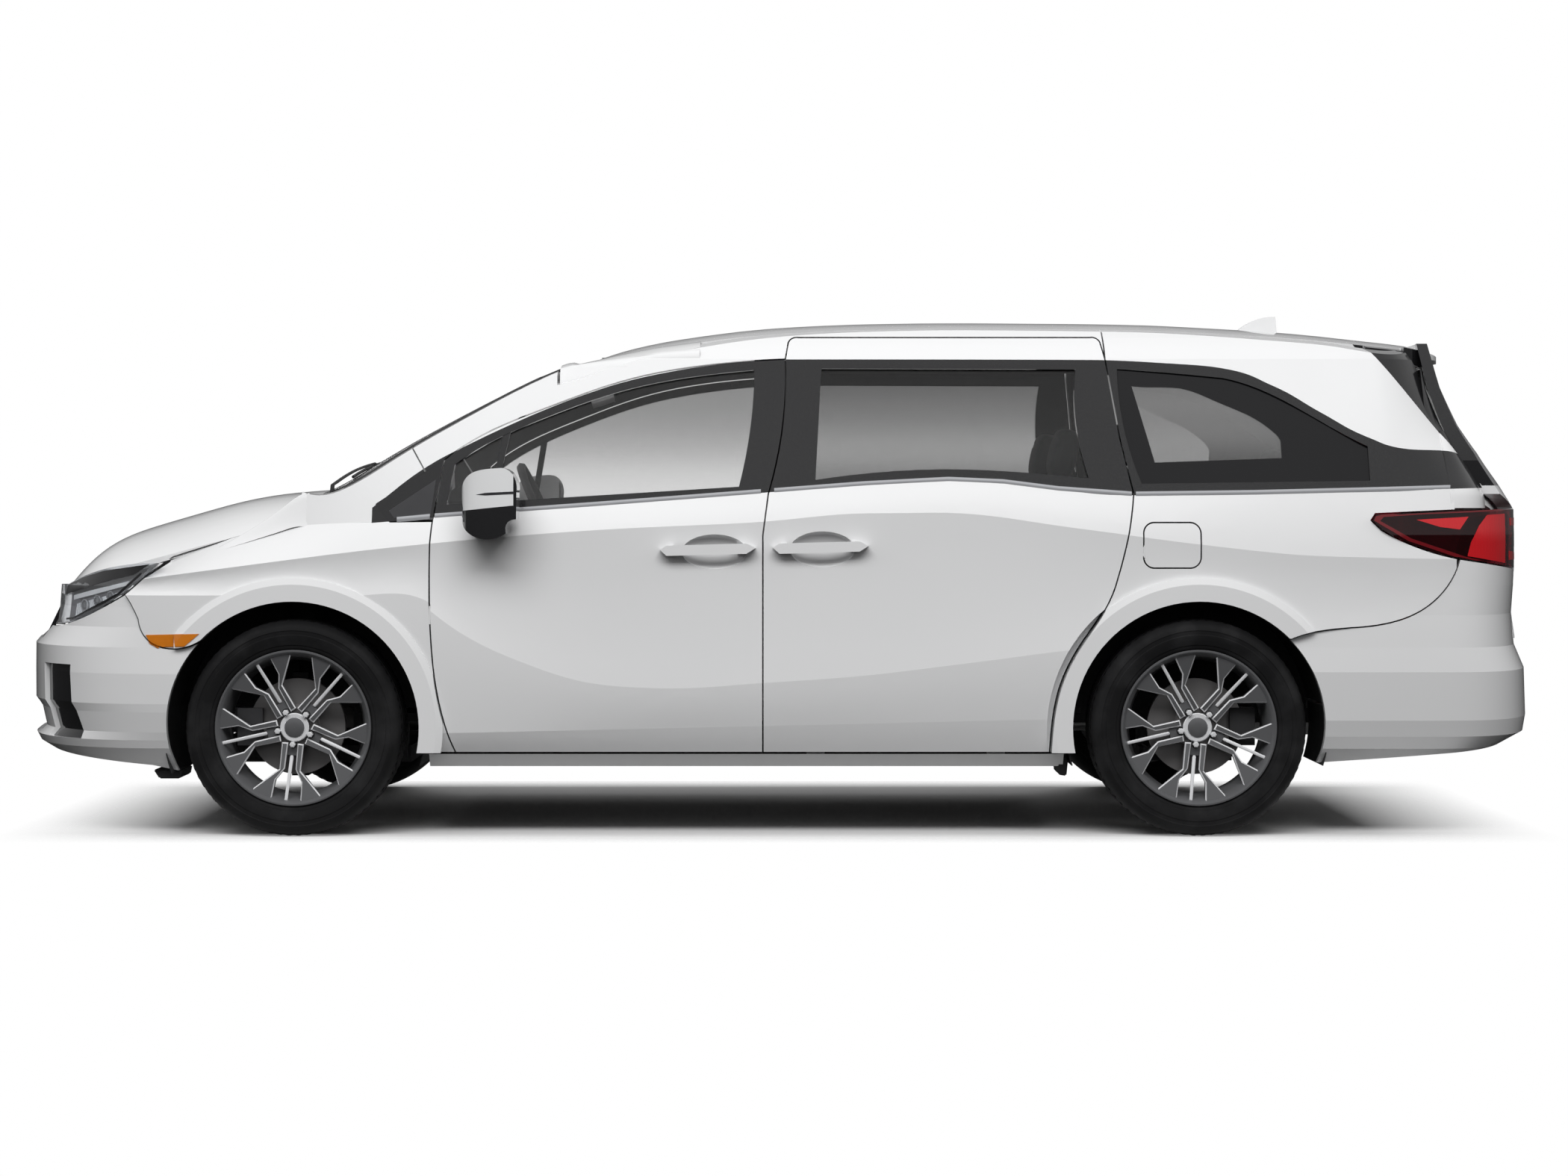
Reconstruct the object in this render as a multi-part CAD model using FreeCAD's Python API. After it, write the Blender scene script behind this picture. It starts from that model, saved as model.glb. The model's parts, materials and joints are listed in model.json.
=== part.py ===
"""Minivan, built as separate pieces: X runs rearwards, Y to the right, Z up, in millimetres.

The origin is on the ground, midway along the overall length, on the centre plane. The nose points to -X and the
driver's side is -Y. Every size that can be set by itself is a cell of the sheet "dims".
"""

import FreeCAD
import Part
import math
import os

V = FreeCAD.Vector

# Driving dimensions
SIZES = {
    "overall_length": 5230,
    "body_width": 1984,
    "roof_height": 1750,
    "wheelbase": 3000,
    "front_overhang": 1014,
    "track": 1710,
    "tyre_radius": 360,
    "tyre_width": 235,
    "rim_seat_radius": 243,
    "rim_lip_radius": 259,
    "rim_offset": 50,
    "barrel_wall": 9,
    "lug_circle": 57,
    "hub_radius": 82,
    "spoke_thickness": 24,
    "disc_radius": 160,
    "disc_thickness": 26,
    "disc_inset": 16,
    "spindle_radius": 24,
    "arch_radius": 420,
    "flare_radius": 490,
    "flare_proud": 9,
    "panel_gap": 5,
    "running_gap": 0.3,
    "seat_gap": 0.3,
    "door_wall": 74,
    "frame_wall": 42,
    "skin_wall": 22,
    "pillar_wall": 62,
    "glass_wall": 5,
    "glass_inset": 7,
    "sill_height": 229,
    "door_bottom": 277,
    "roof_wall": 34,
    "hood_wall": 18,
    "tailgate_wall": 50,
    "bumper_wall": 26,
    "floor_height": 380,
    "floor_wall": 30,
    "kingpin_inset": 80,
    "kingpin_radius": 14,
    "pivot_gap": 0.3,
    "fin_height": 66,
    "lid_round": 36,
    "mirror_reach": 192,
}


def open_document():
    """A new document and its sheet of sizes."""
    doc = FreeCAD.newDocument("minivan")
    sheet = doc.addObject("Spreadsheet::Sheet", "dims")
    for row, (name, value) in enumerate(SIZES.items(), start=1):
        sheet.set(f"A{row}", name)
        sheet.set(f"B{row}", str(value))
        sheet.setAlias(f"B{row}", name)
    doc.recompute()
    return doc, sheet


doc, sheet = open_document()


def dim(name):
    """A size as the sheet holds it."""
    return float(sheet.get(name))


L2 = dim("overall_length") / 2
W2 = dim("body_width") / 2
FRONT_AXLE = -L2 + dim("front_overhang")
REAR_AXLE = FRONT_AXLE + dim("wheelbase")
AXLE_Z = dim("tyre_radius")
WHEEL_Y = dim("track") / 2
ROOF = dim("roof_height")
GAP = dim("panel_gap")
NOSE = -L2 + 7
TAIL = L2 - 2


# Curves and section functions

def along(x, knots):
    """The smooth height or width at x, through knots of (x, value), level beyond the ends."""
    if x <= knots[0][0]:
        return knots[0][1]
    if x >= knots[-1][0]:
        return knots[-1][1]
    slopes = []
    for (x0, v0), (x1, v1) in zip(knots, knots[1:]):
        slopes.append((v1 - v0) / (x1 - x0))
    tangents = [slopes[0]]
    for before, after in zip(slopes, slopes[1:]):
        tangents.append(0 if before * after <= 0 else 2 * before * after / (before + after))
    tangents.append(slopes[-1])
    for index, ((x0, v0), (x1, v1)) in enumerate(zip(knots, knots[1:])):
        if x <= x1:
            span = x1 - x0
            s = (x - x0) / span
            rise = v1 - v0
            t0 = tangents[index] * span
            t1 = tangents[index + 1] * span
            return v0 + s * t0 + s * s * (3 * rise - 2 * t0 - t1) + s ** 3 * (t0 + t1 - 2 * rise)
    return knots[-1][1]


# Lines that run along the side: the height of each, by station
LOWER_CREASE = ((-1064, 344), (906, 389))
SWOOSH = ((-1200, 800), (-1116, 721), (-883, 596), (-623, 513), (-364, 492), (-40, 511), (284, 534),
          (543, 565), (802, 597), (1000, 622), (1800, 660))
SHOULDER = ((-2200, 840), (-1800, 893), (-1333, 952), (-874, 996), (-528, 1020), (-47, 1043), (254, 1070),
            (563, 1073), (965, 1026), (1412, 967), (1800, 930), (2500, 915))
BELT = ((-2200, 858), (-2071, 904), (-1930, 955), (-1741, 1012), (-1600, 1032), (-1277, 1045),
        (-1139, 1058), (-600, 1097), (-27, 1141), (285, 1165), (571, 1180), (754, 1172), (936, 1149),
        (1183, 1131), (1587, 1136), (2003, 1146), (2381, 1157))
BELT_INSET = ((-2200, 175), (-2000, 180), (-1741, 160), (-1500, 100), (-1277, 62), (-600, 55))
WINDOW_TOP = 1593
RAIL_TOP = 1669
DITCH_TOP = 1728


def side_lines(x):
    """Height, inset from the full half width, and bulge of the band above, for each line at x."""
    belt = along(x, BELT)
    return (
        (dim("sill_height"), 88, 0),
        (dim("door_bottom"), 50, 2),
        (along(x, LOWER_CREASE), 20, 3),
        (along(x, SWOOSH), 0, -8),
        (along(x, SHOULDER), 8, 4),
        (belt, along(x, BELT_INSET), 6),
        (max(WINDOW_TOP, belt + 100), 250, 6),
        (RAIL_TOP, 337, 4),
        (DITCH_TOP, 440, 0),
    )


# The nose and the tail on the centre plane: station by height
NOSE_LINE = ((197, 208), (237, 108), (291, 14), (318, 0), (345, 34), (412, 20), (440, 0), (627, 0),
             (694, 60), (721, 73), (842, 90), (880, 134), (940, 190))
TAIL_LINE = ((232, 300), (290, 100), (331, 10), (380, 0), (398, 10), (546, 10), (627, 48), (734, 58),
             (882, 46), (1084, 46), (1115, 64), (1160, 92), (1275, 172), (1371, 250), (1500, 318),
             (1640, 352))
NOSE_START = -1950
TAIL_START = 2180
NOSE_POWER = 2.6
TAIL_POWER = 2.8


def nose_x(z):
    """Where the nose ends at this height, on the centre plane."""
    return NOSE + along(z, NOSE_LINE)


def tail_x(z):
    """Where the tail ends at this height, on the centre plane."""
    return TAIL - along(z, TAIL_LINE)


def corner(x, z):
    """How much of its half width the body keeps at x: the plan view rounds in at nose and tail."""
    if x < NOSE_START:
        share = min((NOSE_START - x) / (NOSE_START - nose_x(z)), 0.999)
        return (1 - share ** NOSE_POWER) ** (1 / NOSE_POWER)
    if x > TAIL_START:
        share = min((x - TAIL_START) / (tail_x(z) - TAIL_START), 0.999)
        return (1 - share ** TAIL_POWER) ** (1 / TAIL_POWER)
    return 1.0


def side_point(x, lines, index, inset):
    """A point of the right side, on one of its lines."""
    z, hidden, bulge = lines[index]
    return V(x, (W2 - dim("flare_proud") - hidden) * corner(x, z) - inset, z)


def side_y(x, z):
    """The half width of the body at a point of its side."""
    lines = side_lines(x)
    for band in range(len(lines) - 1):
        if z <= lines[band + 1][0] or band == len(lines) - 2:
            break
    low = side_point(x, lines, band, 0)
    high = side_point(x, lines, band + 1, 0)
    share = (z - low.z) / (high.z - low.z)
    return low.y + (high.y - low.y) * share + lines[band][2] * 4 * share * (1 - share)


def stations(low, high, step):
    """Evenly spaced values from low to high, about step apart, at least four."""
    count = max(3, math.ceil((high - low) / step))
    return [low + (high - low) * index / count for index in range(count + 1)]


def surface(rows):
    """A smooth face through rows of points."""
    patch = Part.BSplineSurface()
    patch.interpolate(rows)
    return patch.toShape()


def row_curve(points):
    """A smooth curve whose knots lie evenly, so that rows side by side share them."""
    curve = Part.BSplineCurve()
    last = len(points) - 1
    curve.interpolate(Points=points, Parameters=[index / last for index in range(last + 1)])
    return curve


def band_face(low, high, bulge):
    """A face between two rows of points, bowed outwards between them."""
    middle = [(a + b) * 0.5 + V(0, 2 * bulge, 0) for a, b in zip(low, high)]
    curves = [row_curve(row) for row in (low, middle, high)]
    poles = [list(column) for column in zip(*[curve.getPoles() for curve in curves])]
    patch = Part.BSplineSurface()
    patch.buildFromPolesMultsKnots(
        poles, curves[0].getMultiplicities(), (3, 3), curves[0].getKnots(), (0, 1), False, False,
        curves[0].Degree, 2)
    return patch.toShape(), curves[0], curves[2]


def side_slab(x0, x1, wall, inset=0, first=0, last=8):
    """The right side's wall between two stations, inset from the skin, from line first to line last."""
    where = stations(x0, x1, 190)
    lines = [side_lines(x) for x in where]
    rows = []
    for index in range(first, last + 1):
        rows.append([side_point(x, at, index, inset) for x, at in zip(where, lines)])
    through = V(0, -wall, 0)
    faces = []
    for index, (low, high) in enumerate(zip(rows, rows[1:]), start=first):
        face, below, above = band_face(low, high, lines[0][index][2])
        faces.append(face)
        faces.append(face.translated(through))
        for end in (face.Surface.uIso(0), face.Surface.uIso(1)):
            faces.append(end.toShape().extrude(through))
        if index == first:
            faces.append(below.toShape().extrude(through))
        if index == last - 1:
            faces.append(above.toShape().extrude(through))
    shell = Part.makeShell(faces)
    shell.sewShape()
    solid = Part.makeSolid(Part.Shell(shell.Faces))
    if solid.Volume < 0:
        solid.reverse()
    return solid


# The top of the body: centre line height by station, and how far it falls towards the sides
HOOD_LINE = ((-2500, 790), (-2475, 846), (-2400, 922), (-2316, 974), (-2204, 1026), (-2009, 1084),
             (-1842, 1126), (-1647, 1152), (-1560, 1158))
SCREEN_LINE = ((-1600, 1138), (-1560, 1160), (-1312, 1308), (-1151, 1396), (-991, 1479), (-830, 1554),
               (-697, 1607), (-600, 1640))
ROOF_LINE = ((-760, 1589), (-697, 1607), (-371, 1689), (27, 1736), (311, 1748), (595, 1752), (1163, 1748),
             (1731, 1722), (2114, 1684), (2250, 1666))


def hood_z(x, y):
    """Height of the hood's surface."""
    far = abs(y) / 800
    return along(x, HOOD_LINE) - 45 * far ** 2 - 92 * far ** 4


def screen_z(x, y):
    """Height of the windscreen's surface."""
    return along(x - 88 * (y / 700) ** 2, SCREEN_LINE)


def roof_z(x, y):
    """Height of the roof's surface."""
    return along(x, ROOF_LINE) - 47 * (y / 560) ** 2


def top_face(height, x0, x1, half, step=170):
    """The face of a top surface between two stations."""
    rows = []
    for x in stations(x0, x1, step):
        rows.append([V(x, y, height(x, y)) for y in stations(-half, half, half / 3)])
    return surface(rows)


# Outlines
OFFSET_STEP = 90


def wire(runs):
    """A closed wire of runs of points: two points are a line, more are a smooth curve."""
    edges = []
    for run in runs:
        if len(run) == 2:
            edges.append(Part.makeLine(run[0], run[1]))
        else:
            curve = Part.BSplineCurve()
            curve.interpolate(run)
            edges.append(curve.toShape())
    return Part.Wire(edges)


def shrunk(outline, amount):
    """The face inside an outline, its edge moved in by an amount, or out where that is negative."""
    if not amount:
        return Part.Face(outline)
    edges = []
    for edge in Part.Face(outline).makeOffset2D(-amount).OuterWire.OrderedEdges:
        if edge.Curve.TypeId in ("Part::GeomLine", "Part::GeomCircle"):
            edges.append(edge)
        else:
            curve = Part.BSplineCurve()
            curve.interpolate(edge.discretize(max(4, round(edge.Length / OFFSET_STEP))))
            edges.append(curve.toShape())
    return Part.Face(Part.Wire(Part.sortEdges(edges)[0]))


def prism_xz(runs, y0=0, y1=1300, shrink=0.0):
    """A prism across the body with an outline given as runs of (x, z)."""
    outline = wire([[V(x, y0, z) for x, z in run] for run in runs])
    return shrunk(outline, shrink).extrude(V(0, y1 - y0, 0))


def prism_xy(runs, z0=0, z1=2000, shrink=0.0):
    """An upright prism with an outline given as runs of (x, y)."""
    outline = wire([[V(x, y, z0) for x, y in run] for run in runs])
    return shrunk(outline, shrink).extrude(V(0, 0, z1 - z0))


def prism_yz(runs, x0, x1, shrink=0.0):
    """A lengthwise prism with an outline given as runs of (y, z)."""
    outline = wire([[V(x0, y, z) for y, z in run] for run in runs])
    return shrunk(outline, shrink).extrude(V(x1 - x0, 0, 0))


def mirrored(shape):
    """The same piece on the other side of the centre plane."""
    return shape.mirror(V(0, 0, 0), V(0, 1, 0))


def both(shape):
    """The piece and its mirror image, as solids that don't touch."""
    return Part.makeCompound([shape, mirrored(shape)])


def box(x0, x1, y0, y1, z0, z1):
    """A box between corners."""
    return Part.makeBox(x1 - x0, y1 - y0, z1 - z0, V(x0, y0, z0))


def rod(start, end, radius):
    """A round bar from one point to another."""
    span = end.sub(start)
    return Part.makeCylinder(radius, span.Length, start, span)


PLAN_SHARES = (0, 0.22, 0.42, 0.58, 0.71, 0.81, 0.885, 0.94, 0.98, 1)


def plan_curve(z, start, tip, power, end, inset):
    """Half of an end's plan outline at one height, from the centre plane to its side's end."""
    half = side_y(0, z) - inset
    reach = abs(tip - start) - inset
    way = 1 if tip > start else -1
    points = []
    for share in PLAN_SHARES:
        points.append(V(start + way * reach * (1 - share ** power) ** (1 / power), half * share, z))
    points.append(V((start + end) / 2, half, z))
    points.append(V(end, half, z))
    return points


def end_wire(z, front, end, wall, inset):
    """The closed plan outline of an end's wall at one height."""
    start = NOSE_START if front else TAIL_START
    tip = nose_x(z) if front else tail_x(z)
    power = NOSE_POWER if front else TAIL_POWER
    curves = []
    for deep in (inset, inset + wall):
        half = plan_curve(z, start, tip, power, end, deep)
        points = [V(p.x, -p.y, p.z) for p in reversed(half[1:])] + half
        curve = Part.BSplineCurve()
        curve.interpolate(points)
        curves.append((curve.toShape(), points))
    outer, inner = curves
    right = Part.makeLine(outer[1][-1], inner[1][-1])
    left = Part.makeLine(inner[1][0], outer[1][0])
    return Part.Wire([outer[0], right, inner[0], left])


def end_wall(levels, front, end, wall, inset=0):
    """The wall of the nose or the tail through plan outlines at rising heights."""
    return Part.makeLoft([end_wire(z, front, end, wall, inset) for z in levels], True, True)


# Lines shared by neighbouring panels, in side view as (x, z)
DOOR_FRONT = ((-1065, 277), (-1102, 383), (-1133, 539), (-1146, 720), (-1149, 902), (-1143, 1045))
WINDOW_FRONT = ((-1111, 1249), (-1030, 1308), (-767, 1429), (-503, 1522), (-239, 1572), (30, 1593))
DOOR_REAR_TOP = ((30, 1593), (14, 1317), (-27, 1136))
DOOR_REAR = (-45, 1000)
SLIDE_TOP = ((39, 1646), (48, 1664), (74, 1671), (1070, 1671), (1094, 1665), (1102, 1648))
SLIDE_REAR = ((1112, 1590), (1149, 1320), (1187, 1136), (1167, 1006), (1128, 850), (1050, 694), (998, 617),
              (946, 513), (920, 409), (907, 277))
WINDOW_REAR = ((1298, 1580), (1510, 1561), (1669, 1503), (1828, 1410), (1987, 1322), (2093, 1288), (2274, 1277))
BUMPER_GAP = ((-1880, 668), (-2090, 675), (-2125, 745), (-2161, 802))
LAMP_LOW = ((-2161, 802), (-2213, 774), (-2372, 707), (-2450, 690))
REAR_GAP = ((1700, 655), (1900, 693), (2090, 728), (2155, 765), (2262, 920))
SEAM = ((-1172, 1209), (-1225, 1300))
SAIL = ((-1143, 1045), (-1285, 1043), (-1333, 1102), (-1111, 1249))
HOOD_SIDE = ((-2392, 700), (-2300, 772), (-2071, 812), (-1900, 814), (-1760, 795), (-1660, 745), (-1590, 690))
HOOD_FRONT = ((-2392, 700), (-2444, 470), (-2470, 240), (-2478, 0))
HOOD_REAR = ((-1590, 690), (-1580, 350), (-1576, 0))


def run(*points):
    """One run of an outline."""
    return list(points)


def flip(points):
    """A run the other way round."""
    return list(reversed(points))


def front_door_outline():
    """The front door, in side view."""
    return [
        list(DOOR_FRONT), run(DOOR_FRONT[-1], WINDOW_FRONT[0]), list(WINDOW_FRONT), list(DOOR_REAR_TOP),
        run(DOOR_REAR_TOP[-1], DOOR_REAR), run(DOOR_REAR, (-45, 277)), run((-45, 277), DOOR_FRONT[0])]


def sliding_door_outline():
    """The sliding door, in side view."""
    return [
        run((-45, 277), DOOR_REAR), run(DOOR_REAR, DOOR_REAR_TOP[-1]), flip(DOOR_REAR_TOP),
        run(DOOR_REAR_TOP[0], SLIDE_TOP[0]), run(*SLIDE_TOP[:3]), run(*SLIDE_TOP[2:4]), run(*SLIDE_TOP[3:]),
        run(SLIDE_TOP[-1], SLIDE_REAR[0]), run(*SLIDE_REAR[:2]), run(*SLIDE_REAR[1:3]), run(*SLIDE_REAR[2:5]),
        run(*SLIDE_REAR[4:]), run(SLIDE_REAR[-1], (-45, 277))]


def sheet_below(face, depth, thick):
    """A sheet of the given thickness, its top lying a depth below a top surface."""
    return face.translated(V(0, 0, -depth)).extrude(V(0, 0, -thick))


HOOD_FACE = top_face(hood_z, -2500, -1400, 1000)
SCREEN_FACE = top_face(screen_z, -1590, -640, 1000)
ROOF_FACE = top_face(roof_z, -750, 2250, 1000)
DOWN = V(0, 0, -1900)
UNDER_HOOD = HOOD_FACE.extrude(DOWN)
UNDER_SCREEN = SCREEN_FACE.extrude(DOWN)
UNDER_ROOF = ROOF_FACE.extrude(DOWN)

EDGE = GAP / 2
SEAT_GAP = dim("seat_gap")
PILLAR_WALL = dim("pillar_wall")
LINER_FACE = W2 - 50 - SEAT_GAP
DOOR_WALL = dim("door_wall")
ROOF_END = 2020
TAILGATE_AXIS = roof_z(ROOF_END, 0) - 2.5
HOOD_AXIS = (-1579, 1150)
DOOR_AXIS = (-1146.5, 980)
LID_AXIS = 1217
FRAME_WALL = dim("frame_wall")
SKIN = dim("skin_wall")
ARCH = dim("arch_radius")


def arch_cut(axle, radius=ARCH):
    """The round wheel opening through one side."""
    return Part.makeCylinder(radius, 700, V(axle, 500, AXLE_Z), V(0, 1, 0))


def flare(axle, x0, x1):
    """The raised lip round a wheel opening, between two stations."""
    outer = W2
    inner = W2 - 50
    low = Part.makeCylinder(dim("flare_radius") + 8, outer - 7 - inner, V(axle, inner, AXLE_Z), V(0, 1, 0))
    crown = Part.makeCone(
        dim("flare_radius") + 8, dim("flare_radius") - 14, 7, V(axle, outer - 7, AXLE_Z), V(0, 1, 0))
    ring = low.fuse(crown).cut(arch_cut(axle))
    return ring.common(box(x0, x1, 800, 1100, 250, 1000))


# Windows, in side view
FRONT_WINDOW = [
    run((-1098, 1100), (-1075, 1235)), run((-1075, 1235), (-1010, 1280), (-767, 1396), (-503, 1488),
                                           (-239, 1538), (-75, 1555)),
    run((-75, 1555), (-90, 1340), (-125, 1160)), run((-125, 1160), (-1098, 1090 + 10))]
SLIDE_WINDOW = [
    run((130, 1183), (152, 1560)), run((152, 1560), (1010, 1557)), run((1010, 1557), (1010, 1320), (1040, 1188)),
    run((1040, 1188), (754, 1212), (571, 1218), (285, 1203), (130, 1183))]
QUARTER_WINDOW = [
    run((1215, 1170), (1165, 1350), (1150, 1560)), run((1150, 1560), (1298, 1548), (1505, 1528)),
    run((1505, 1528), (1669, 1470), (1828, 1378), (1975, 1295)), run((1975, 1295), (1975, 1180)),
    run((1975, 1180), (1215, 1170))]


def window_glass(outline, x0, x1):
    """A pane that fills a window, a little inside the skin."""
    pane = side_slab(x0, x1, dim("glass_wall"), dim("glass_inset"), 5, 7)
    return pane.common(prism_xz(outline, shrink=dim("seat_gap")))


def scoop(x, z, half_long, half_tall):
    """The hollow in the skin behind a door handle, as the body to cut away."""
    stretch = FreeCAD.Matrix()
    stretch.scale(half_long, 34, half_tall)
    bowl = Part.makeSphere(1).transformGeometry(stretch)
    return bowl.translated(V(x, side_y(x, z) + 4, z))


def grip(x0, x1, z):
    """A pull handle: a flat bar that stands off the skin on a foot at each end."""
    low = z - 17
    high = z + 17
    outline = [
        run((x0, z), (x0 + 22, high - 3)), run((x0 + 22, high - 3), (x1 - 30, high + 4)),
        run((x1 - 30, high + 4), (x1, z + 6)), run((x1, z + 6), (x1 - 30, low + 4)),
        run((x1 - 30, low + 4), (x0 + 22, low - 3)), run((x0 + 22, low - 3), (x0, z))]
    face = prism_xz(outline)
    bar = side_slab(x0 - 60, x1 + 60, 15, -32, 3, 6).common(face)
    feet = side_slab(x0 - 60, x1 + 60, 40, -25, 3, 6).common(face)
    first = feet.common(box(x0, x0 + 46, 800, 1100, 800, 1100))
    last = feet.common(box(x1 - 62, x1, 800, 1100, 800, 1100))
    return bar.multiFuse([first, last])


def front_door():
    """The right front door with its window cut, the bar across it and its grab handle."""
    whole = side_slab(-1200, 80, DOOR_WALL).common(prism_xz(front_door_outline(), shrink=EDGE))
    frame_room = side_slab(-1200, 80, 200, FRAME_WALL, 5).common(
        prism_xz([run((-1300, 1165), (120, 1185)), run((120, 1185), (120, 1800)), run((120, 1800), (-1300, 1800)),
                  run((-1300, 1800), (-1300, 1165))]))
    pin_room = Part.makeCylinder(3 + SEAT_GAP, 70, V(DOOR_AXIS[0], DOOR_AXIS[1], 700), V(0, 0, 1))
    whole = whole.cut(frame_room).cut(prism_xz(FRONT_WINDOW)).cut(pin_room)
    whole = whole.cut(scoop(-205, 944, 108, 58)).fuse(grip(-385, -69, 951))
    bar = side_slab(-1010, -860, dim("glass_inset") - SEAT_GAP - 1.5, 1.5, 5, 7).common(prism_xz([
        run((-962, 1095), (-940, 1097)), run((-940, 1097), (-890, 1350)), run((-890, 1350), (-914, 1350)),
        run((-914, 1350), (-962, 1095))]))
    return whole.fuse(bar)


def sliding_door():
    """The right sliding door with its window cut."""
    whole = side_slab(-100, 1250, DOOR_WALL).common(prism_xz(sliding_door_outline(), shrink=EDGE))
    frame_room = side_slab(-100, 1250, 200, FRAME_WALL, 5).common(
        prism_xz([run((-200, 1220), (1300, 1230)), run((1300, 1230), (1300, 1800)), run((1300, 1800), (-200, 1800)),
                  run((-200, 1800), (-200, 1220))]))
    whole = whole.cut(frame_room).cut(prism_xz(SLIDE_WINDOW)).cut(flare_room(REAR_AXLE))
    return whole.cut(scoop(152, 952, 108, 60)).fuse(grip(-12, 304, 958))


def flare_room(axle):
    """The space that a wheel opening's lip and its gap take from a door."""
    return Part.makeCylinder(dim("flare_radius") + 8 + GAP, 60, V(axle, W2 - 60, AXLE_Z), V(0, 1, 0))


def fender():
    """The right front fender, up to the foot of the windscreen pillar."""
    outline = [
        list(DOOR_FRONT), run(*SAIL[:2]), run(*SAIL[1:3]), run(SAIL[2], SEAM[0]), run(*SEAM),
        run(SEAM[1], (-1600, 1250)), run((-1600, 1250), (-2100, 1000)), run((-2100, 1000), (-2035, 909)),
        run((-2035, 909), BUMPER_GAP[-1]), flip(BUMPER_GAP), run(BUMPER_GAP[0], (-1600, 668)),
        run((-1600, 668), (-1600, 277)), run((-1600, 277), DOOR_FRONT[0])]
    region = prism_xz(outline, shrink=EDGE)
    hood_room = prism_xy(hood_outline(), 600, 1300, -EDGE)
    skin = side_slab(-2200, -1040, SKIN, 0, 0, 5).common(region)
    foot = side_slab(-1590, -1040, PILLAR_WALL, 0, 5, 6).common(region).common(UNDER_SCREEN)
    shoulder = sheet_below(HOOD_FACE, 0, dim("hood_wall"))
    shoulder = shoulder.common(side_slab(-1850, -1500, 330, 0, 4, 6)).common(box(-1800, -1556, 640, 1100, 900, 1300))
    body = skin.cut(arch_cut(FRONT_AXLE)).multiFuse([foot, shoulder, flare(FRONT_AXLE, -1990, -1100).common(region)])
    pin = Part.makeCylinder(3, 60, V(DOOR_AXIS[0], DOOR_AXIS[1], 705), V(0, 0, 1))
    carrier = box(DOOR_AXIS[0] - 16, DOOR_AXIS[0], DOOR_AXIS[1] - 8, DOOR_AXIS[1] - 1, 715, 755)
    return body.cut(hood_room).multiFuse([pin, carrier])


def hood_outline():
    """The hood, seen from above."""
    left = [(x, -y) for x, y in HOOD_SIDE]
    front = list(HOOD_FRONT) + [(x, -y) for x, y in flip(HOOD_FRONT)[1:]]
    rear = list(HOOD_REAR) + [(x, -y) for x, y in flip(HOOD_REAR)[1:]]
    return [list(HOOD_SIDE), rear, flip(left), flip(front)]


def hood():
    """The hood, a curved panel with a thickened rim."""
    panel = sheet_below(HOOD_FACE, 0, dim("hood_wall")).common(prism_xy(hood_outline(), 600, 1300, EDGE))
    return panel.cut(Part.makeCylinder(4 + SEAT_GAP, 400, V(HOOD_AXIS[0], -200, HOOD_AXIS[1]), V(0, 1, 0)))


def windscreen():
    """The windscreen between its pillars."""
    pane = sheet_below(SCREEN_FACE, 0, 6)
    outline = [
        run((-1562, 0), (-1552, 350), (-1500, 690), (-1475, 775)), run((-1475, 775), (-1150, 735), (-690, 600)),
        run((-690, 600), (-712, 300), (-720, 0), (-712, -300), (-690, -600)),
        run((-690, -600), (-1150, -735), (-1475, -775)), run((-1475, -775), (-1500, -690), (-1552, -350), (-1562, 0))]
    return pane.common(prism_xy(outline, 900, 1800, EDGE))


def roof_panel():
    """The roof skin between the two ditches."""
    panel = sheet_below(ROOF_FACE, 0, dim("roof_wall"))
    outline = [
        run((-690, 560), (ROOF_END, 560)), run((ROOF_END, 560), (ROOF_END, -560)),
        run((ROOF_END, -560), (-690, -560)), run((-690, -560), (-712, -300), (-720, 0), (-712, 300), (-690, 560))]
    skin = panel.common(prism_xy(outline, 1500, 1800, EDGE))
    base = roof_z(1750, 0) - 6
    tip = base + dim("fin_height")
    fin = wire([[V(1650, 0, base), V(1790, 0, tip), V(1806, 0, tip)], [V(1806, 0, tip), V(1812, 0, base)],
                [V(1812, 0, base), V(1650, 0, base)]])
    blade = Part.Face(fin).extrude(V(0, 16, 0)).translated(V(0, -8, 0))
    pins = []
    for side in (1, -1):
        y = min(side * 30, side * 90)
        pins.append(Part.makeCylinder(2, 60, V(ROOF_END, y, TAILGATE_AXIS), V(0, 1, 0)))
        pins.append(box(ROOF_END - 14, ROOF_END, y, y + 60, TAILGATE_AXIS - 6, TAILGATE_AXIS))
    return skin.multiFuse([blade] + pins)


def roof_rail():
    """The right pillar beside the windscreen and the rail above the doors."""
    outline = [
        run(SEAM[0], WINDOW_FRONT[0]), list(WINDOW_FRONT), run(WINDOW_FRONT[-1], SLIDE_TOP[0]),
        run(*SLIDE_TOP[:3]), run(*SLIDE_TOP[2:4]), run(*SLIDE_TOP[3:]), run(SLIDE_TOP[-1], SLIDE_REAR[0]),
        run(SLIDE_REAR[0], (1112, 1800)), run((1112, 1800), (-700, 1800)),
        run((-700, 1800), SEAM[1]), flip(SEAM)]
    region = prism_xz(outline, shrink=EDGE)
    rail = side_slab(-1300, 1250, PILLAR_WALL, 0, 5, 8).common(region).common(box(-1300, 1250, 560 + EDGE, 1100, 1000, 1800))
    below_screen = UNDER_SCREEN.fuse(box(-660, 1300, -1000, 1000, 0, 1900))
    return rail.common(below_screen).common(UNDER_ROOF.fuse(box(-1600, -740, -1000, 1000, 0, 1900)))


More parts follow.
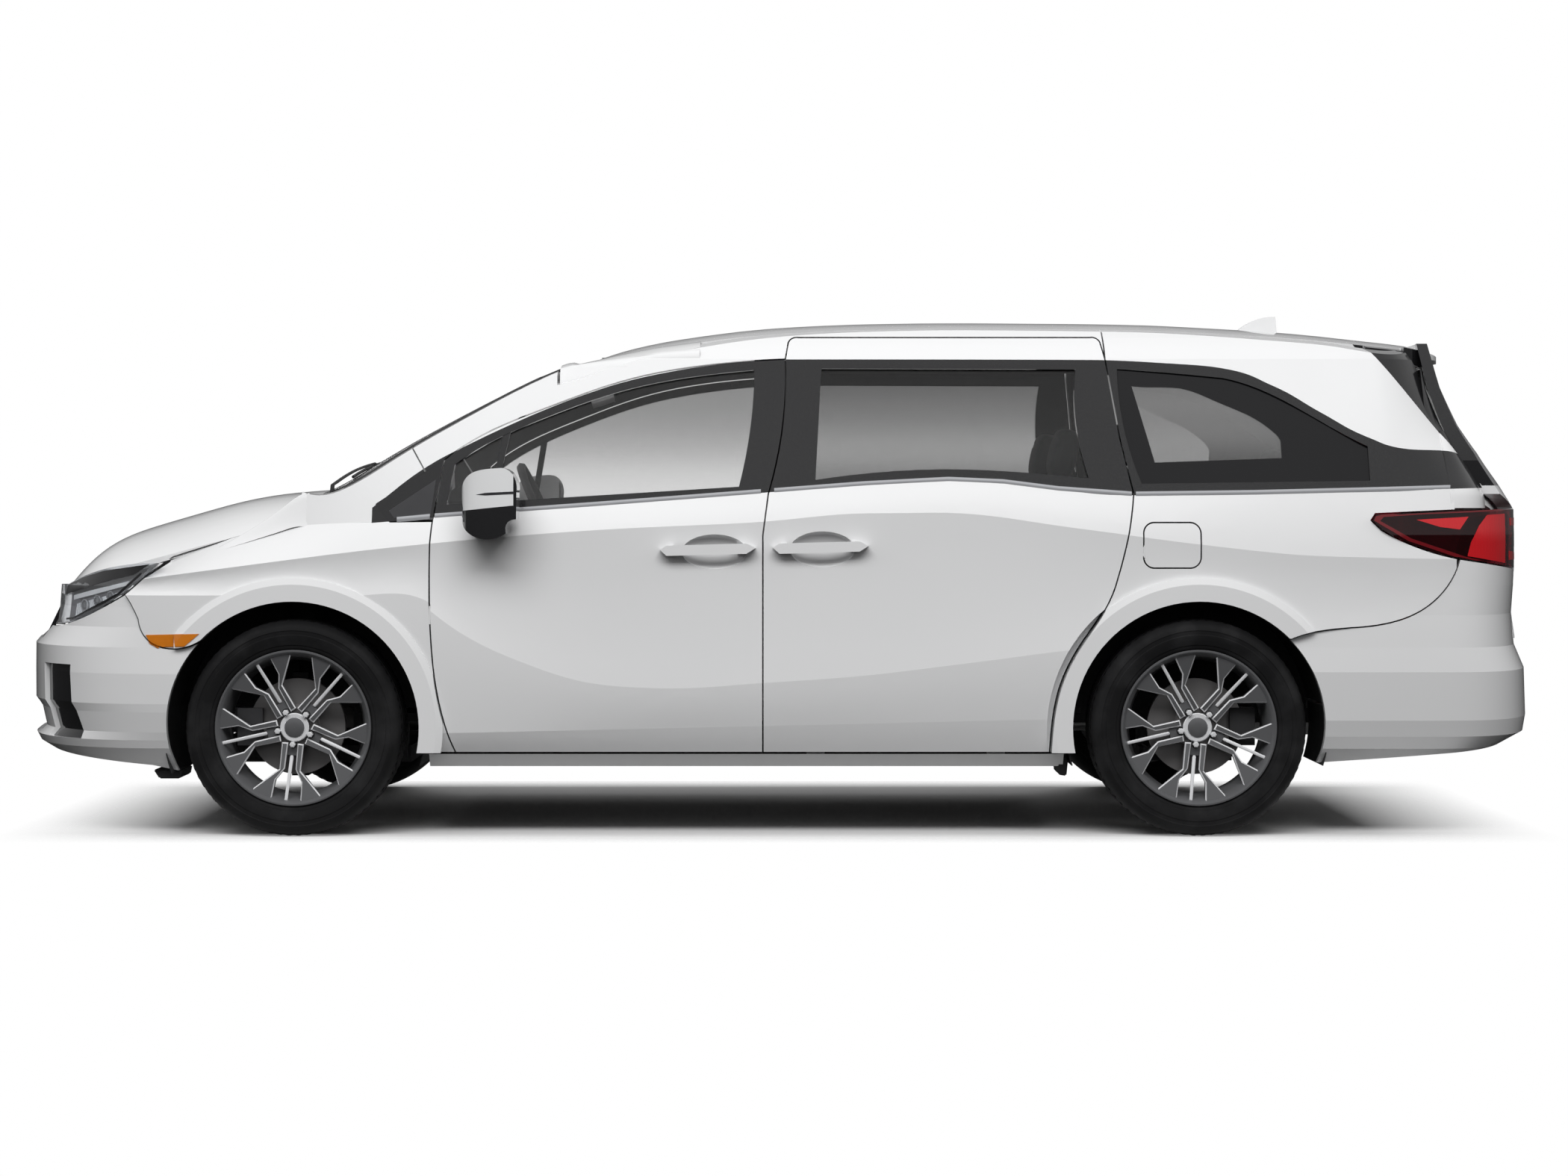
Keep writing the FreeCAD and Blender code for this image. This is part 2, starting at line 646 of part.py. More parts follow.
def upper_frame():
    """Both roof rails, joined by the windscreen's header, a bow over the pillars and the rear header."""
    rail = roof_rail()
    below = dim("roof_wall") + SEAT_GAP
    bows = [
        cross_top(SCREEN_FACE, -790, -724, 690, 6 + SEAT_GAP, 42),
        cross_top(ROOF_FACE, -705, -620, 690, below, 22),
        cross_top(ROOF_FACE, -60, 40, 642, below, 24),
    ]
    post = pillar()
    return rail.multiFuse([mirrored(rail), post, mirrored(post)] + bows)


def quarter_panel():
    """The right rear quarter panel with the pillar behind its window."""
    outline = [
        flip(SLIDE_REAR[4:]), flip(SLIDE_REAR[2:5]), flip(SLIDE_REAR[1:3]), flip(SLIDE_REAR[:2]),
        run(SLIDE_REAR[0], (1112, 1800)), run((1112, 1800), (2050, 1800)),
        run((2050, 1800), (2330, 1300)), run((2330, 1300), (2420, 1135)), run((2420, 1135), (2420, 1090)),
        run((2420, 1090), (1986, 1070)), run((1986, 1070), (1971, 1048)), run((1971, 1048), (2004, 1015)),
        run((2004, 1015), (2095, 969), (2262, 920)), flip(REAR_GAP), run(REAR_GAP[0], (1396, 655)),
        run((1396, 655), (1396, 277)), run((1396, 277), SLIDE_REAR[-1])]
    region = prism_xz(outline, shrink=EDGE)
    wall = side_slab(880, 2430, PILLAR_WALL).common(region).common(box(880, 2430, 560 + EDGE, 1100, 200, 1800))
    wall = wall.cut(prism_xz(QUARTER_WINDOW)).cut(arch_cut(REAR_AXLE, ARCH)).common(UNDER_ROOF)
    wall = wall.cut(Part.makeCylinder(
        ARCH + 18 + SEAT_GAP, LINER_FACE + SEAT_GAP - 500, V(REAR_AXLE, 500, AXLE_Z), V(0, 1, 0)))
    wall = wall.cut(prism_yz(tailgate_outline(), 2120, 2700, -EDGE))
    wall = wall.cut(box(ROOF_END - EDGE, 2700, 500, 600 + GAP, 1560, 1900))
    lip = flare(REAR_AXLE, 880, 1920).common(region)
    return wall.fuse(lip)


def vent_box(side, margin):
    """The room of the tall vent at one corner of the front bumper."""
    low = 700 + margin
    high = 856 - margin
    return box(-2700, -2260, min(side * low, side * high), max(side * low, side * high), 318 + margin, 566 - margin)


def front_bumper():
    """The front bumper with its grille mouths, fog vents and chin."""
    levels = (200, 240, 291, 318, 345, 412, 440, 540, 627, 694, 760, 810)
    wall = end_wall(levels, True, -1860, dim("bumper_wall"))
    above = [flip(LAMP_LOW), flip(BUMPER_GAP), run(BUMPER_GAP[0], (-1800, 668)),
             run((-1800, 668), (-1800, 900)), run((-1800, 900), (-2700, 900)),
             run((-2700, 900), (-2700, 690)), run((-2700, 690), LAMP_LOW[-1])]
    body = wall.cut(prism_xz(above, -1100, 1100, -EDGE))
    for side in (1, -1):
        body = body.cut(Part.makeCylinder(ARCH, 1400, V(FRONT_AXLE, 0, AXLE_Z), V(0, side, 0)))
        body = body.cut(vent_box(side, 0))
    body = body.cut(box(-2700, -2400, -560, 560, 330, 430))
    body = body.cut(box(-2700, -2400, -600, 600, 645, 900))
    under = box(-2720, -1800, -1000, 1000, 150, 262)
    slope = wire([[V(-2720, -1000, 150), V(-1700, -1000, 150)], [V(-1700, -1000, 150), V(-2080, -1000, 232)],
                  [V(-2080, -1000, 232), V(-2720, -1000, 285)], [V(-2720, -1000, 285), V(-2720, -1000, 150)]])
    return body.cut(Part.Face(slope).extrude(V(0, 2000, 0)).common(under.fuse(box(-2720, -1700, -1000, 1000, 150, 290))))


def rear_bumper():
    """The rear bumper, up to the tail lamps at its corners."""
    levels = (225, 290, 331, 385, 546, 627, 734, 830, 930)
    wall = end_wall(levels, False, 1660, dim("bumper_wall"))
    above = [list(REAR_GAP), run(REAR_GAP[-1], (2500, 885)), run((2500, 885), (2700, 885)), run((2700, 885), (2700, 1000)),
             run((2700, 1000), (1600, 1000)), run((1600, 1000), (1600, 655)), run((1600, 655), REAR_GAP[0])]
    body = wall.cut(prism_xz(above, -1100, 1100, -EDGE))
    for side in (1, -1):
        body = body.cut(Part.makeCylinder(ARCH, 1400, V(REAR_AXLE, 0, AXLE_Z), V(0, side, 0)))
    body = body.cut(box(2300, 2700, -658, 658, 640, 1000))
    slope = wire([[V(1600, -1000, 150), V(2700, -1000, 150)], [V(2700, -1000, 150), V(2700, -1000, 310)],
                  [V(2700, -1000, 310), V(1600, -1000, 225)], [V(1600, -1000, 225), V(1600, -1000, 150)]])
    return body.cut(Part.Face(slope).extrude(V(0, 2000, 0)))


def headlamp():
    """The right headlamp, wrapped round the corner."""
    wall = end_wall((650, 700, 760, 830, 880, 935), True, -1890, 60)
    outline = [
        flip(LAMP_LOW), run(LAMP_LOW[0], (-2035, 909)), run((-2035, 909), (-2200, 897), (-2404, 832)),
        run((-2404, 832), (-2450, 832)), run((-2450, 832), LAMP_LOW[-1])]
    lamp = wall.common(prism_xz(outline, 0, 1100, EDGE)).common(box(-2600, -1900, 605, 1100, 600, 1000))
    below_hood = sheet_below(HOOD_FACE, dim("hood_wall") + GAP, 800)
    tab = end_wall((627, 694, 760, 810), True, -1860, 24, dim("bumper_wall") + 2 * SEAT_GAP)
    tab = tab.common(prism_xz(outline, 0, 1100, -12)).common(box(-2400, -2250, 640, 1100, 600, 790))
    return lamp.fuse(tab).cut(prism_xy(hood_outline(), 600, 1300, -EDGE - 4).cut(below_hood))


TAIL_LAMP_LEVELS = (860, 882, 1000, 1084, 1115)


def tail_lamp():
    """The right tail lamp on the body's corner."""
    wall = end_wall(TAIL_LAMP_LEVELS, False, 1900, 60)
    return wall.common(prism_xz(tail_lamp_outline(), 0, 1100, EDGE)).common(box(1900, 2700, 655 + EDGE, 1100, 800, 1200))


def tail_lamp_outline():
    """The tail lamp in side view, out past the body's end."""
    return [
        run((1971, 1048), (1986, 1070)), run((1986, 1070), (2420, 1088)), run((2420, 1088), (2640, 1088)),
        run((2640, 1088), (2640, 885)), run((2640, 885), (2500, 885)), run((2500, 885), (2262, 920)),
        run((2262, 920), (2095, 969), (2004, 1015)), run((2004, 1015), (1971, 1048))]


def tailgate_outline(shrink_side=0):
    """The tailgate, seen from behind, as (y, z)."""
    half = [(655, 643), (655, 900), (655, 1090)]
    upper = [(655, 1090), (770, 1135), (770, 1250)]
    top = [(770, 1250), (700, 1480), (600, 1655)]
    return [
        run((-655, 643), (655, 643)), run(half[0], half[2]), run(upper[0], upper[1]), run(upper[1], upper[2]),
        list(top), run(top[-1], (-600, 1655)), [(-y, z) for y, z in flip(top)], run((-770, 1250), (-770, 1135)),
        run((-770, 1135), (-655, 1090)), run((-655, 1090), (-655, 643))]


REAR_GLASS = [
    run((-640, 1185), (640, 1185)), run((640, 1185), (690, 1230), (640, 1420), (545, 1580)),
    run((545, 1580), (-545, 1580)), run((-545, 1580), (-640, 1420), (-690, 1230), (-640, 1185))]


def tail_wall(z0, z1, wall, inset=0):
    """The tail's wall between two heights."""
    levels = [z for z in (600, 734, 882, 1084, 1115, 1160, 1275, 1371, 1500, 1640, 1700) if z0 < z < z1]
    return end_wall([z0] + levels + [z1], False, TAIL_START - 60, wall, inset)


def tailgate():
    """The tailgate with its window cut, and the spoiler above it."""
    wall = tail_wall(600, 1680, dim("tailgate_wall")).common(prism_yz(tailgate_outline(), 2000, 2700, EDGE))
    wall = wall.cut(prism_yz(REAR_GLASS, 2000, 2700)).common(box(2150, 2700, -1000, 1000, 500, 1800))
    lamp_room = tail_wall(882, 1084, 30 + SEAT_GAP)
    for side in (1, -1):
        near = min(side * (420 - SEAT_GAP), side * 700)
        wall = wall.cut(lamp_room.common(box(2200, 2700, near, near + 280 + SEAT_GAP, 890 - SEAT_GAP, 1080 + SEAT_GAP)))
    front = ROOF_END + EDGE
    plan = prism_xy([
        run((front, -600), (front, 600)), run((front, 600), (2180, 600)),
        run((2180, 600), (2262, 520), (2318, 260), (2334, 0), (2318, -260), (2262, -520), (2180, -600)),
        run((2180, -600), (front, -600))], 1400, 1800)
    lead = sheet_below(ROOF_FACE, 0, 26).common(box(front, 2210, -600, 600, 1400, 1800)).common(plan)
    section = wire([[V(2150, -600, 1640), V(2340, -600, 1606)], [V(2340, -600, 1606), V(2336, -600, 1598)],
                    [V(2336, -600, 1598), V(2210, -600, 1572)], [V(2210, -600, 1572), V(2150, -600, 1592)],
                    [V(2150, -600, 1592), V(2150, -600, 1640)]])
    tip = Part.Face(section).extrude(V(0, 1200, 0)).common(plan)
    body = wall.multiFuse([lead, tip])
    return body.cut(Part.makeCylinder(2 + SEAT_GAP, 200, V(ROOF_END, -100, TAILGATE_AXIS), V(0, 1, 0)))


def tailgate_glass():
    """The rear window."""
    pane = tail_wall(1150, 1620, dim("glass_wall"), dim("glass_inset"))
    return pane.common(prism_yz(REAR_GLASS, 2000, 2700, 6 * SEAT_GAP))


def slats():
    """The upper grille's bars and the lower mouth's bars, on two uprights each."""
    bars = []
    upper_half = 600 - SEAT_GAP
    lower_half = 560 - SEAT_GAP
    for low, tall, half in ((650, 16, upper_half), (690, 16, upper_half), (730, 16, upper_half), (770, 16, upper_half),
                            (352, 14, lower_half), (392, 14, lower_half)):
        bar = end_wall((low, low + tall), True, -1900, 24, 12).common(box(-2700, -2200, -half, half, 0, 1200))
        bars.append(bar)
    for y in (-380, 0, 380):
        bars.append(end_wall((650, 786), True, -1900, 16, 20).common(box(-2700, -2200, y - 9, y + 9, 0, 1200)))
    upper = bars[0].multiFuse(bars[1:4] + bars[6:])
    lower = [end_wall((352, 406), True, -1900, 16, 20).common(box(-2700, -2200, y - 9, y + 9, 0, 1200))
             for y in (-330, 0, 330)]
    vent = end_wall((318, 345, 412, 440, 540, 566), True, -1900, 10, 14).common(vent_box(1, SEAT_GAP))
    return Part.makeCompound([upper, bars[4].multiFuse([bars[5]] + lower), vent, mirrored(vent)])


def sail():
    """The black triangle ahead of the front door's window."""
    corners = [run(*SAIL[:2]), run(*SAIL[1:3]), run(*SAIL[2:]), run(SAIL[3], SAIL[0])]
    panel = side_slab(-1400, -1050, 30, 0, 5, 6).common(prism_xz(corners, shrink=SEAT_GAP - EDGE))
    return panel.cut(prism_xz(front_door_outline(), shrink=-EDGE))


# Wheels. A wheel's own axis is Y, with its outer face at +Y, so left wheels are turned round.

def ring_profile(points, centre):
    """A closed section of (radius, y) turned round an axle along Y."""
    corners = [V(centre.x, centre.y + y, centre.z + radius) for radius, y in points]
    face = Part.Face(Part.makePolygon(corners + corners[:1]))
    return face.revolve(centre, V(0, 1, 0), 360)


def tyre(centre, side):
    """A tyre, its section cut by its bead seats, flanks and tread."""
    bead = dim("rim_seat_radius") + dim("running_gap")
    lip = dim("rim_lip_radius") + dim("running_gap")
    outer = dim("tyre_radius")
    half = dim("tyre_width") / 2
    profile = [(bead, half - 24), (lip, half - 18.5), (outer - 16, half), (outer, half - 34)]
    return ring_profile(profile + [(radius, -y) for radius, y in reversed(profile)], centre)


def spoke(centre, side, angle, inner, outer):
    """One flat spoke between two polylines of (radius, half width), turned to its angle."""
    face_y = centre.y + side * (dim("rim_offset") + 2)
    points = [(radius, width) for radius, width in inner] + [(radius, width) for radius, width in reversed(outer)]
    corners = [V(centre.x + width, face_y, centre.z + radius) for radius, width in points]
    blade = Part.Face(Part.makePolygon(corners + corners[:1])).extrude(V(0, side * dim("spoke_thickness"), 0))
    return blade.rotate(centre, V(0, 1, 0), angle)


FIRST_SPOKE = 30


def wheel(centre, side):
    """A wheel: barrel, lips, hub, five groups of spokes, and its brake disc."""
    seat = dim("rim_seat_radius")
    lip = dim("rim_lip_radius")
    half = dim("tyre_width") / 2
    wall = dim("barrel_wall")
    profile = [(seat - wall, half - 8), (lip, half - 8), (lip, half - 18), (seat, half - 23)]
    barrel = ring_profile(profile + [(radius, -y) for radius, y in reversed(profile)], centre)
    offset = dim("rim_offset")
    face_y = centre.y + side * offset
    out = V(0, side, 0)
    hub = Part.makeCylinder(dim("hub_radius"), dim("spoke_thickness") + 2, V(centre.x, face_y, centre.z), out)
    pieces = [hub]
    nuts = []
    reach = seat - wall + 2
    paddle_low = [(56, 15), (139, 18), (179, 44), (reach, 46)]
    paddle_high = [(50, 36), (142, 36), (219, 121)]
    for group in range(5):
        turn = FIRST_SPOKE + 72 * group
        pieces.append(spoke(centre, side, turn, paddle_low, paddle_high))
        mirrored_low = [(radius, -width) for radius, width in paddle_low]
        mirrored_high = [(radius, -width) for radius, width in paddle_high]
        pieces.append(spoke(centre, side, turn, mirrored_high, mirrored_low))
        pieces.append(spoke(centre, side, turn, [(78, -5.5), (reach, -5.5)], [(78, 5.5), (reach, 5.5)]))
        angle = math.radians(turn)
        nut = V(centre.x + dim("lug_circle") * math.sin(angle), face_y + side * 12,
                centre.z + dim("lug_circle") * math.cos(angle))
        nuts.append(Part.makeCylinder(9.5, 24, nut, out))
    disc_y = centre.y - side * (dim("disc_inset") - dim("disc_thickness"))
    disc = Part.makeCylinder(dim("disc_radius"), dim("disc_thickness"), V(centre.x, disc_y, centre.z), -out)
    hat = Part.makeCylinder(73, offset + 4, V(centre.x, centre.y, centre.z), out)
    bore = Part.makeCylinder(
        dim("spindle_radius") + dim("running_gap"), offset + dim("disc_inset") + 10,
        V(centre.x, centre.y - side * (dim("disc_inset") + 5), centre.z), out)
    round_limit = Part.makeCylinder(reach, 200, V(centre.x, centre.y - 100, centre.z), V(0, 1, 0))
    face = pieces[0].multiFuse([piece.common(round_limit) for piece in pieces[1:]])
    return barrel.multiFuse([face, disc, hat] + nuts).cut(bore)


def kingpin_y():
    """How far out the front wheels' steering axes stand."""
    return WHEEL_Y - dim("kingpin_inset")


def caliper(axle, way):
    """The right brake caliper, ahead of the axle or behind it, with its arm to the upright."""
    disc_in = WHEEL_Y - dim("disc_inset")
    disc_out = disc_in + dim("disc_thickness")
    near = axle + way * 112
    far = axle + way * 196
    whole = box(min(near, far), max(near, far), disc_in - 28, disc_out + 26, AXLE_Z - 62, AXLE_Z + 62)
    slot = Part.makeCylinder(
        dim("disc_radius") + GAP, dim("disc_thickness") + 2 * GAP, V(axle, disc_in - GAP, AXLE_Z), V(0, 1, 0))
    arm_low = min(axle, near)
    arm = box(arm_low, arm_low + 112, disc_in - 28, disc_in - 12, AXLE_Z - 40, AXLE_Z + 40)
    return whole.cut(slot).fuse(arm)


def knuckle():
    """The right front knuckle: upright, spindle, caliper and kingpin bores."""
    y = kingpin_y()
    post = box(FRONT_AXLE - 34, FRONT_AXLE + 34, y - 24, y + 40, AXLE_Z - 140, AXLE_Z + 150)
    spindle = Part.makeCylinder(
        dim("spindle_radius"), WHEEL_Y + dim("rim_offset") - 5 - y, V(FRONT_AXLE, y, AXLE_Z), V(0, 1, 0))
    body = post.multiFuse([spindle, caliper(FRONT_AXLE, -1)])
    bore = dim("kingpin_radius") + dim("pivot_gap")
    for low in (AXLE_Z - 140, AXLE_Z + 110):
        body = body.cut(Part.makeCylinder(bore, 40, V(FRONT_AXLE, y, low), V(0, 0, 1)))
    return body


def front_suspension():
    """The front subframe with its control arms, steering rack, struts and drive shafts."""
    y = kingpin_y()
    low = AXLE_Z - 140
    pieces = [
        box(FRONT_AXLE - 60, FRONT_AXLE + 330, -430, 430, 205, 262),
        box(FRONT_AXLE - 330, FRONT_AXLE - 60, -430, -370, 205, 262),
        box(FRONT_AXLE - 330, FRONT_AXLE - 60, 370, 430, 205, 262),
        box(FRONT_AXLE - 390, FRONT_AXLE - 330, -430, 430, 205, 262),
        Part.makeCylinder(28, 860, V(FRONT_AXLE + 170, -430, 280), V(0, 1, 0)),
    ]
    for side in (1, -1):
        start = min(side * 420, side * (y + 30))
        arm = box(FRONT_AXLE - 28, FRONT_AXLE + 28, start, start + y - 390, low - 30, low - 6)
        riser = box(FRONT_AXLE - 28, FRONT_AXLE + 28, min(side * 380, side * 430), max(side * 380, side * 430),
                    low - 30, 215)
        pin = Part.makeCylinder(dim("kingpin_radius"), 36, V(FRONT_AXLE, side * y, low - 6), V(0, 0, 1))
        top_pin = Part.makeCylinder(
            dim("kingpin_radius"), 36, V(FRONT_AXLE, side * y, AXLE_Z + 120), V(0, 0, 1))
        top_arm = box(FRONT_AXLE - 26, FRONT_AXLE + 26, min(side * 640, side * (y + 20)),
                      max(side * 640, side * (y + 20)), AXLE_Z + 156, AXLE_Z + 176)
        strut = rod(V(FRONT_AXLE, side * 665, AXLE_Z + 160), V(FRONT_AXLE, side * 628, 800), 26)
        spring = rod(V(FRONT_AXLE, side * 652, 610), V(FRONT_AXLE, side * 630, 790), 62)
        mount = Part.makeCylinder(48, TOWER_LOW - SEAT_GAP - 780, V(FRONT_AXLE, side * 628, 780), V(0, 0, 1))
        post = box(FRONT_AXLE + 260, FRONT_AXLE + 320, min(side * 400, side * 460), max(side * 400, side * 460),
                   220, dim("floor_height") - dim("floor_wall") - SEAT_GAP)
        pieces += [arm, riser, pin, top_pin, top_arm, strut, spring, mount, post]
    return pieces[0].multiFuse(pieces[1:])


def rear_suspension():
    """The rear cross member with its arms, uprights, springs and calipers."""
    pieces = [
        box(REAR_AXLE - 150, REAR_AXLE - 70, -560, 560, 232, 268),
        box(REAR_AXLE + 60, REAR_AXLE + 140, -560, 560, 232, 268),
        box(REAR_AXLE - 80, REAR_AXLE + 70, -480, -410, 232, 268),
        box(REAR_AXLE - 80, REAR_AXLE + 70, 410, 480, 232, 268),
    ]
    upright_y = WHEEL_Y - dim("kingpin_inset")
    for side in (1, -1):
        near = min(side * 540, side * (upright_y + 10))
        span = upright_y + 10 - 540
        arms = [box(REAR_AXLE - 140, REAR_AXLE - 90, near, near + span, 240, 280),
                box(REAR_AXLE + 80, REAR_AXLE + 130, near, near + span, 240, 280)]
        inner = min(side * (upright_y - 20), side * (upright_y + 24))
        upright = box(REAR_AXLE - 142, REAR_AXLE + 132, inner, inner + 44, 240, AXLE_Z + 60)
        spindle = Part.makeCylinder(
            dim("spindle_radius"), WHEEL_Y + dim("rim_offset") - 5 - upright_y,
            V(REAR_AXLE, side * upright_y, AXLE_Z), V(0, side, 0))
        brake = caliper(REAR_AXLE, 1)
        damper = rod(V(REAR_AXLE + 20, side * 610, 270), V(REAR_AXLE + 60, side * 600, 700), 24)
        hold = box(REAR_AXLE + 40, REAR_AXLE + 80, min(side * (INNER_ARCH + SEAT_GAP), side * 600),
                   max(side * (INNER_ARCH + SEAT_GAP), side * 600), 660, 700)
        foot = box(REAR_AXLE - 10, REAR_AXLE + 90, min(side * 540, side * 660), max(side * 540, side * 660), 240, 280)
        spring = Part.makeCylinder(
            44, dim("floor_height") - dim("floor_wall") - SEAT_GAP - 260, V(REAR_AXLE - 110, side * 480, 260),
            V(0, 0, 1))
        pieces += arms + [upright, spindle, brake if side > 0 else mirrored(brake), damper, hold, foot, spring]
    return pieces[0].multiFuse(pieces[1:])


# The structure underneath and the cabin

SILL_TOP = 272
SILL_SHELF = 262
SILL_INNER = 850
TOWER_FACE = 516
TOWER_LOW = 822
INNER_ARCH = 545


def cross_top(face, x0, x1, half, below, thick):
    """A bow across the body under a top surface, between two stations."""
    return sheet_below(face, below, thick).common(box(x0, x1, -half, half, 800, 1900))


def end_beam(front):
    """The beam that a bumper is carried on, against the inside of its wall."""
    inner = dim("bumper_wall") + SEAT_GAP
    if front:
        beam = end_wall((440, 540), True, -1900, 40, inner)
        return beam.common(box(-2700, -2200, -600, 600, 400, 600))
    beam = end_wall((385, 546), False, 1900, 40, inner)
    return beam.common(box(2200, 2700, -600, 600, 350, 600))


def underbody():
    """Floor, sills, bulkhead, cowl, front rails, strut towers, wheel arches' inner walls and bumper beams."""
    top = dim("floor_height")
    low = top - dim("floor_wall")
    floor = box(-1330, 2300, -850, 850, low, top).fuse(box(2280, 2420, -780, 780, low, top))
    pieces = [
        box(-1420, -1330, -780, 780, low, top + 60),
        box(-1450, -1425, -740, 740, top, 985),
        box(-1450, -1425, -560, 560, top, 1070),
        cross_top(HOOD_FACE, -1620, -1425, 720, dim("hood_wall") + GAP + 3, 34),
        box(-2400, -2340, -560, 560, 300, 360),
        box(-2400, -2340, -560, 560, 700, 760),
        end_beam(True),
        end_beam(False),
        box(1760, 2420, -700, 700, top, top + 20),
    ]
    for side in (1, -1):
        def across(x0, x1, y0, y1, z0, z1):
            return box(x0, x1, min(side * y0, side * y1), max(side * y0, side * y1), z0, z1)
        pieces += [
            across(-1150, 935, 800, SILL_INNER, SILL_SHELF, low + 10),
            across(HOOD_AXIS[0] + 6, HOOD_AXIS[0] + 14, 140, 190, HOOD_AXIS[1] - 50, HOOD_AXIS[1] + 2),
            across(HOOD_AXIS[0], HOOD_AXIS[0] + 14, 140, 190, HOOD_AXIS[1] - 2, HOOD_AXIS[1] + 2),
            Part.makeCylinder(4, 50, V(HOOD_AXIS[0], min(side * 140, side * 190), HOOD_AXIS[1]), V(0, 1, 0)),
            across(-2505, -1420, 440, 500, 410, 480),
            across(2380, 2550, 440, 500, low, 450),
            across(-2400, -2340, 500, 560, 300, 760),
            across(-1440, -1330, 440, 500, 380, 480),
            across(-1700, -1500, 500, TOWER_FACE, 460, 852),
            across(-1440, -1190, 560, 780, low, low + 40),
            across(1050, 1800, 520, INNER_ARCH, low, 800),
        ]
    body = floor.multiFuse(pieces)
    for side in (1, -1):
        for axle in (FRONT_AXLE, REAR_AXLE):
            start = INNER_ARCH if axle == REAR_AXLE else TOWER_FACE
            body = body.cut(Part.makeCylinder(ARCH + 22, 600, V(axle, side * start, AXLE_Z), V(0, side, 0)))
    for side in (1, -1):
        tower = box(FRONT_AXLE - 100, FRONT_AXLE + 100, min(side * 500, side * 690), max(side * 500, side * 690),
                    TOWER_LOW, TOWER_LOW + 30)
        body = body.fuse(tower)
    return body


def sills():
    """The painted sill covers under the doors, each with two pads for its sliding door."""
    skin = side_slab(-1154, 954, 80, 0, 0, 1)
    skin = skin.common(box(-1154, 954, 700, 1100, dim("sill_height"), SILL_TOP))
    skin = skin.cut(box(-1160, 960, 600, SILL_INNER + SEAT_GAP, SILL_SHELF - SEAT_GAP, 400))
    pad_top = dim("door_bottom") + EDGE - SEAT_GAP
    pads = [box(x, x + 60, 868, 900, SILL_TOP - 8, pad_top) for x in (100, 700)]
    return both(skin.multiFuse(pads))


def arch_liner(axle, inner, x_low, x_high):
    """The right wheel housing: a half drum over the tyre, with its inner wall."""
    outer = Part.makeCylinder(ARCH + 18, LINER_FACE - inner, V(axle, inner, AXLE_Z), V(0, 1, 0))
    hollow = Part.makeCylinder(ARCH + 12, LINER_FACE - inner, V(axle, inner + 5, AXLE_Z), V(0, 1, 0))
    shell = outer.cut(hollow)
    if axle == FRONT_AXLE:
        shell = shell.cut(Part.makeCylinder(72, 300, V(axle, 634, 600), V(0, 0, 1)))
    else:
        shell = shell.cut(box(axle + 34, axle + 86, inner - 10, inner + 20, 654, 706))
    return shell.common(box(x_low, x_high, inner, LINER_FACE, 400, 900))


def pillar():
    """The right centre pillar behind the doors, from sill to rail."""
    outline = [run((-110, 384), (30, 384)), run((30, 384), (20, 1000), (58, 1420), (80, 1640)),
               run((80, 1640), (-60, 1640)), run((-60, 1640), (-68, 1420), (-100, 1000), (-110, 384))]
    post = side_slab(-200, 160, 34, DOOR_WALL + GAP + 1).common(prism_xz(outline))
    foot = box(-104, 18, 780, 860, dim("floor_height") + SEAT_GAP, dim("floor_height") + 60)
    pad = side_slab(-200, 160, GAP + 4, DOOR_WALL + SEAT_GAP).common(
        prism_xz([run((-40, 700), (10, 700)), run((10, 700), (10, 760)), run((10, 760), (-40, 760)),
                  run((-40, 760), (-40, 700))]))
    return post.multiFuse([foot, pad])


def seat(x, y, wide, back_angle, back_tall, cushion_deep=500):
    """A seat's cushion, back and head restraint on its two runners."""
    top = dim("floor_height")
    cushion = box(x - cushion_deep, x + 20, y - wide / 2, y + wide / 2, top + 190, top + 330)
    back = box(x, x + 125, y - wide / 2, y + wide / 2, top + 250, top + 250 + back_tall)
    head = box(x + 20, x + 110, y - 130, y + 130, top + 275 + back_tall, top + 455 + back_tall)
    stalk = box(x + 50, x + 66, y - 60, y + 60, top + 240 + back_tall, top + 300 + back_tall)
    upright = back.multiFuse([head, stalk]).rotate(V(x, y, top + 260), V(0, 1, 0), back_angle)
    runners = [box(x - cushion_deep + 40, x - 20, y + shift - 20, y + shift + 20, top + 0.3, top + 200)
               for shift in (-wide / 2 + 60, wide / 2 - 60)]
    return cushion.multiFuse([upright] + runners)


def dashboard():
    """The dashboard with its cowl over the instruments and a centre console."""
    section = wire([
        [V(-1400, -780, 760), V(-1040, -780, 760)], [V(-1040, -780, 760), V(-960, -780, 980)],
        [V(-960, -780, 980), V(-1000, -780, 1040)], [V(-1000, -780, 1040), V(-1400, -780, 1060)],
        [V(-1400, -780, 1060), V(-1400, -780, 760)]])
    body = Part.Face(section).extrude(V(0, 1560, 0))
    hood_over = box(-1150, -985, -560, -200, 1000, 1085)
    console = box(-1300, -560, -110, 110, dim("floor_height") + 0.3, 700)
    riser = box(-1300, -1050, -110, 110, 600, 800)
    end = V(-820, -380, 1070)
    bore = rod(end.sub(column_axis() * 260), end.sub(column_axis() * 60), 24 + dim("running_gap"))
    return body.multiFuse([hood_over, console, riser]).cut(bore)


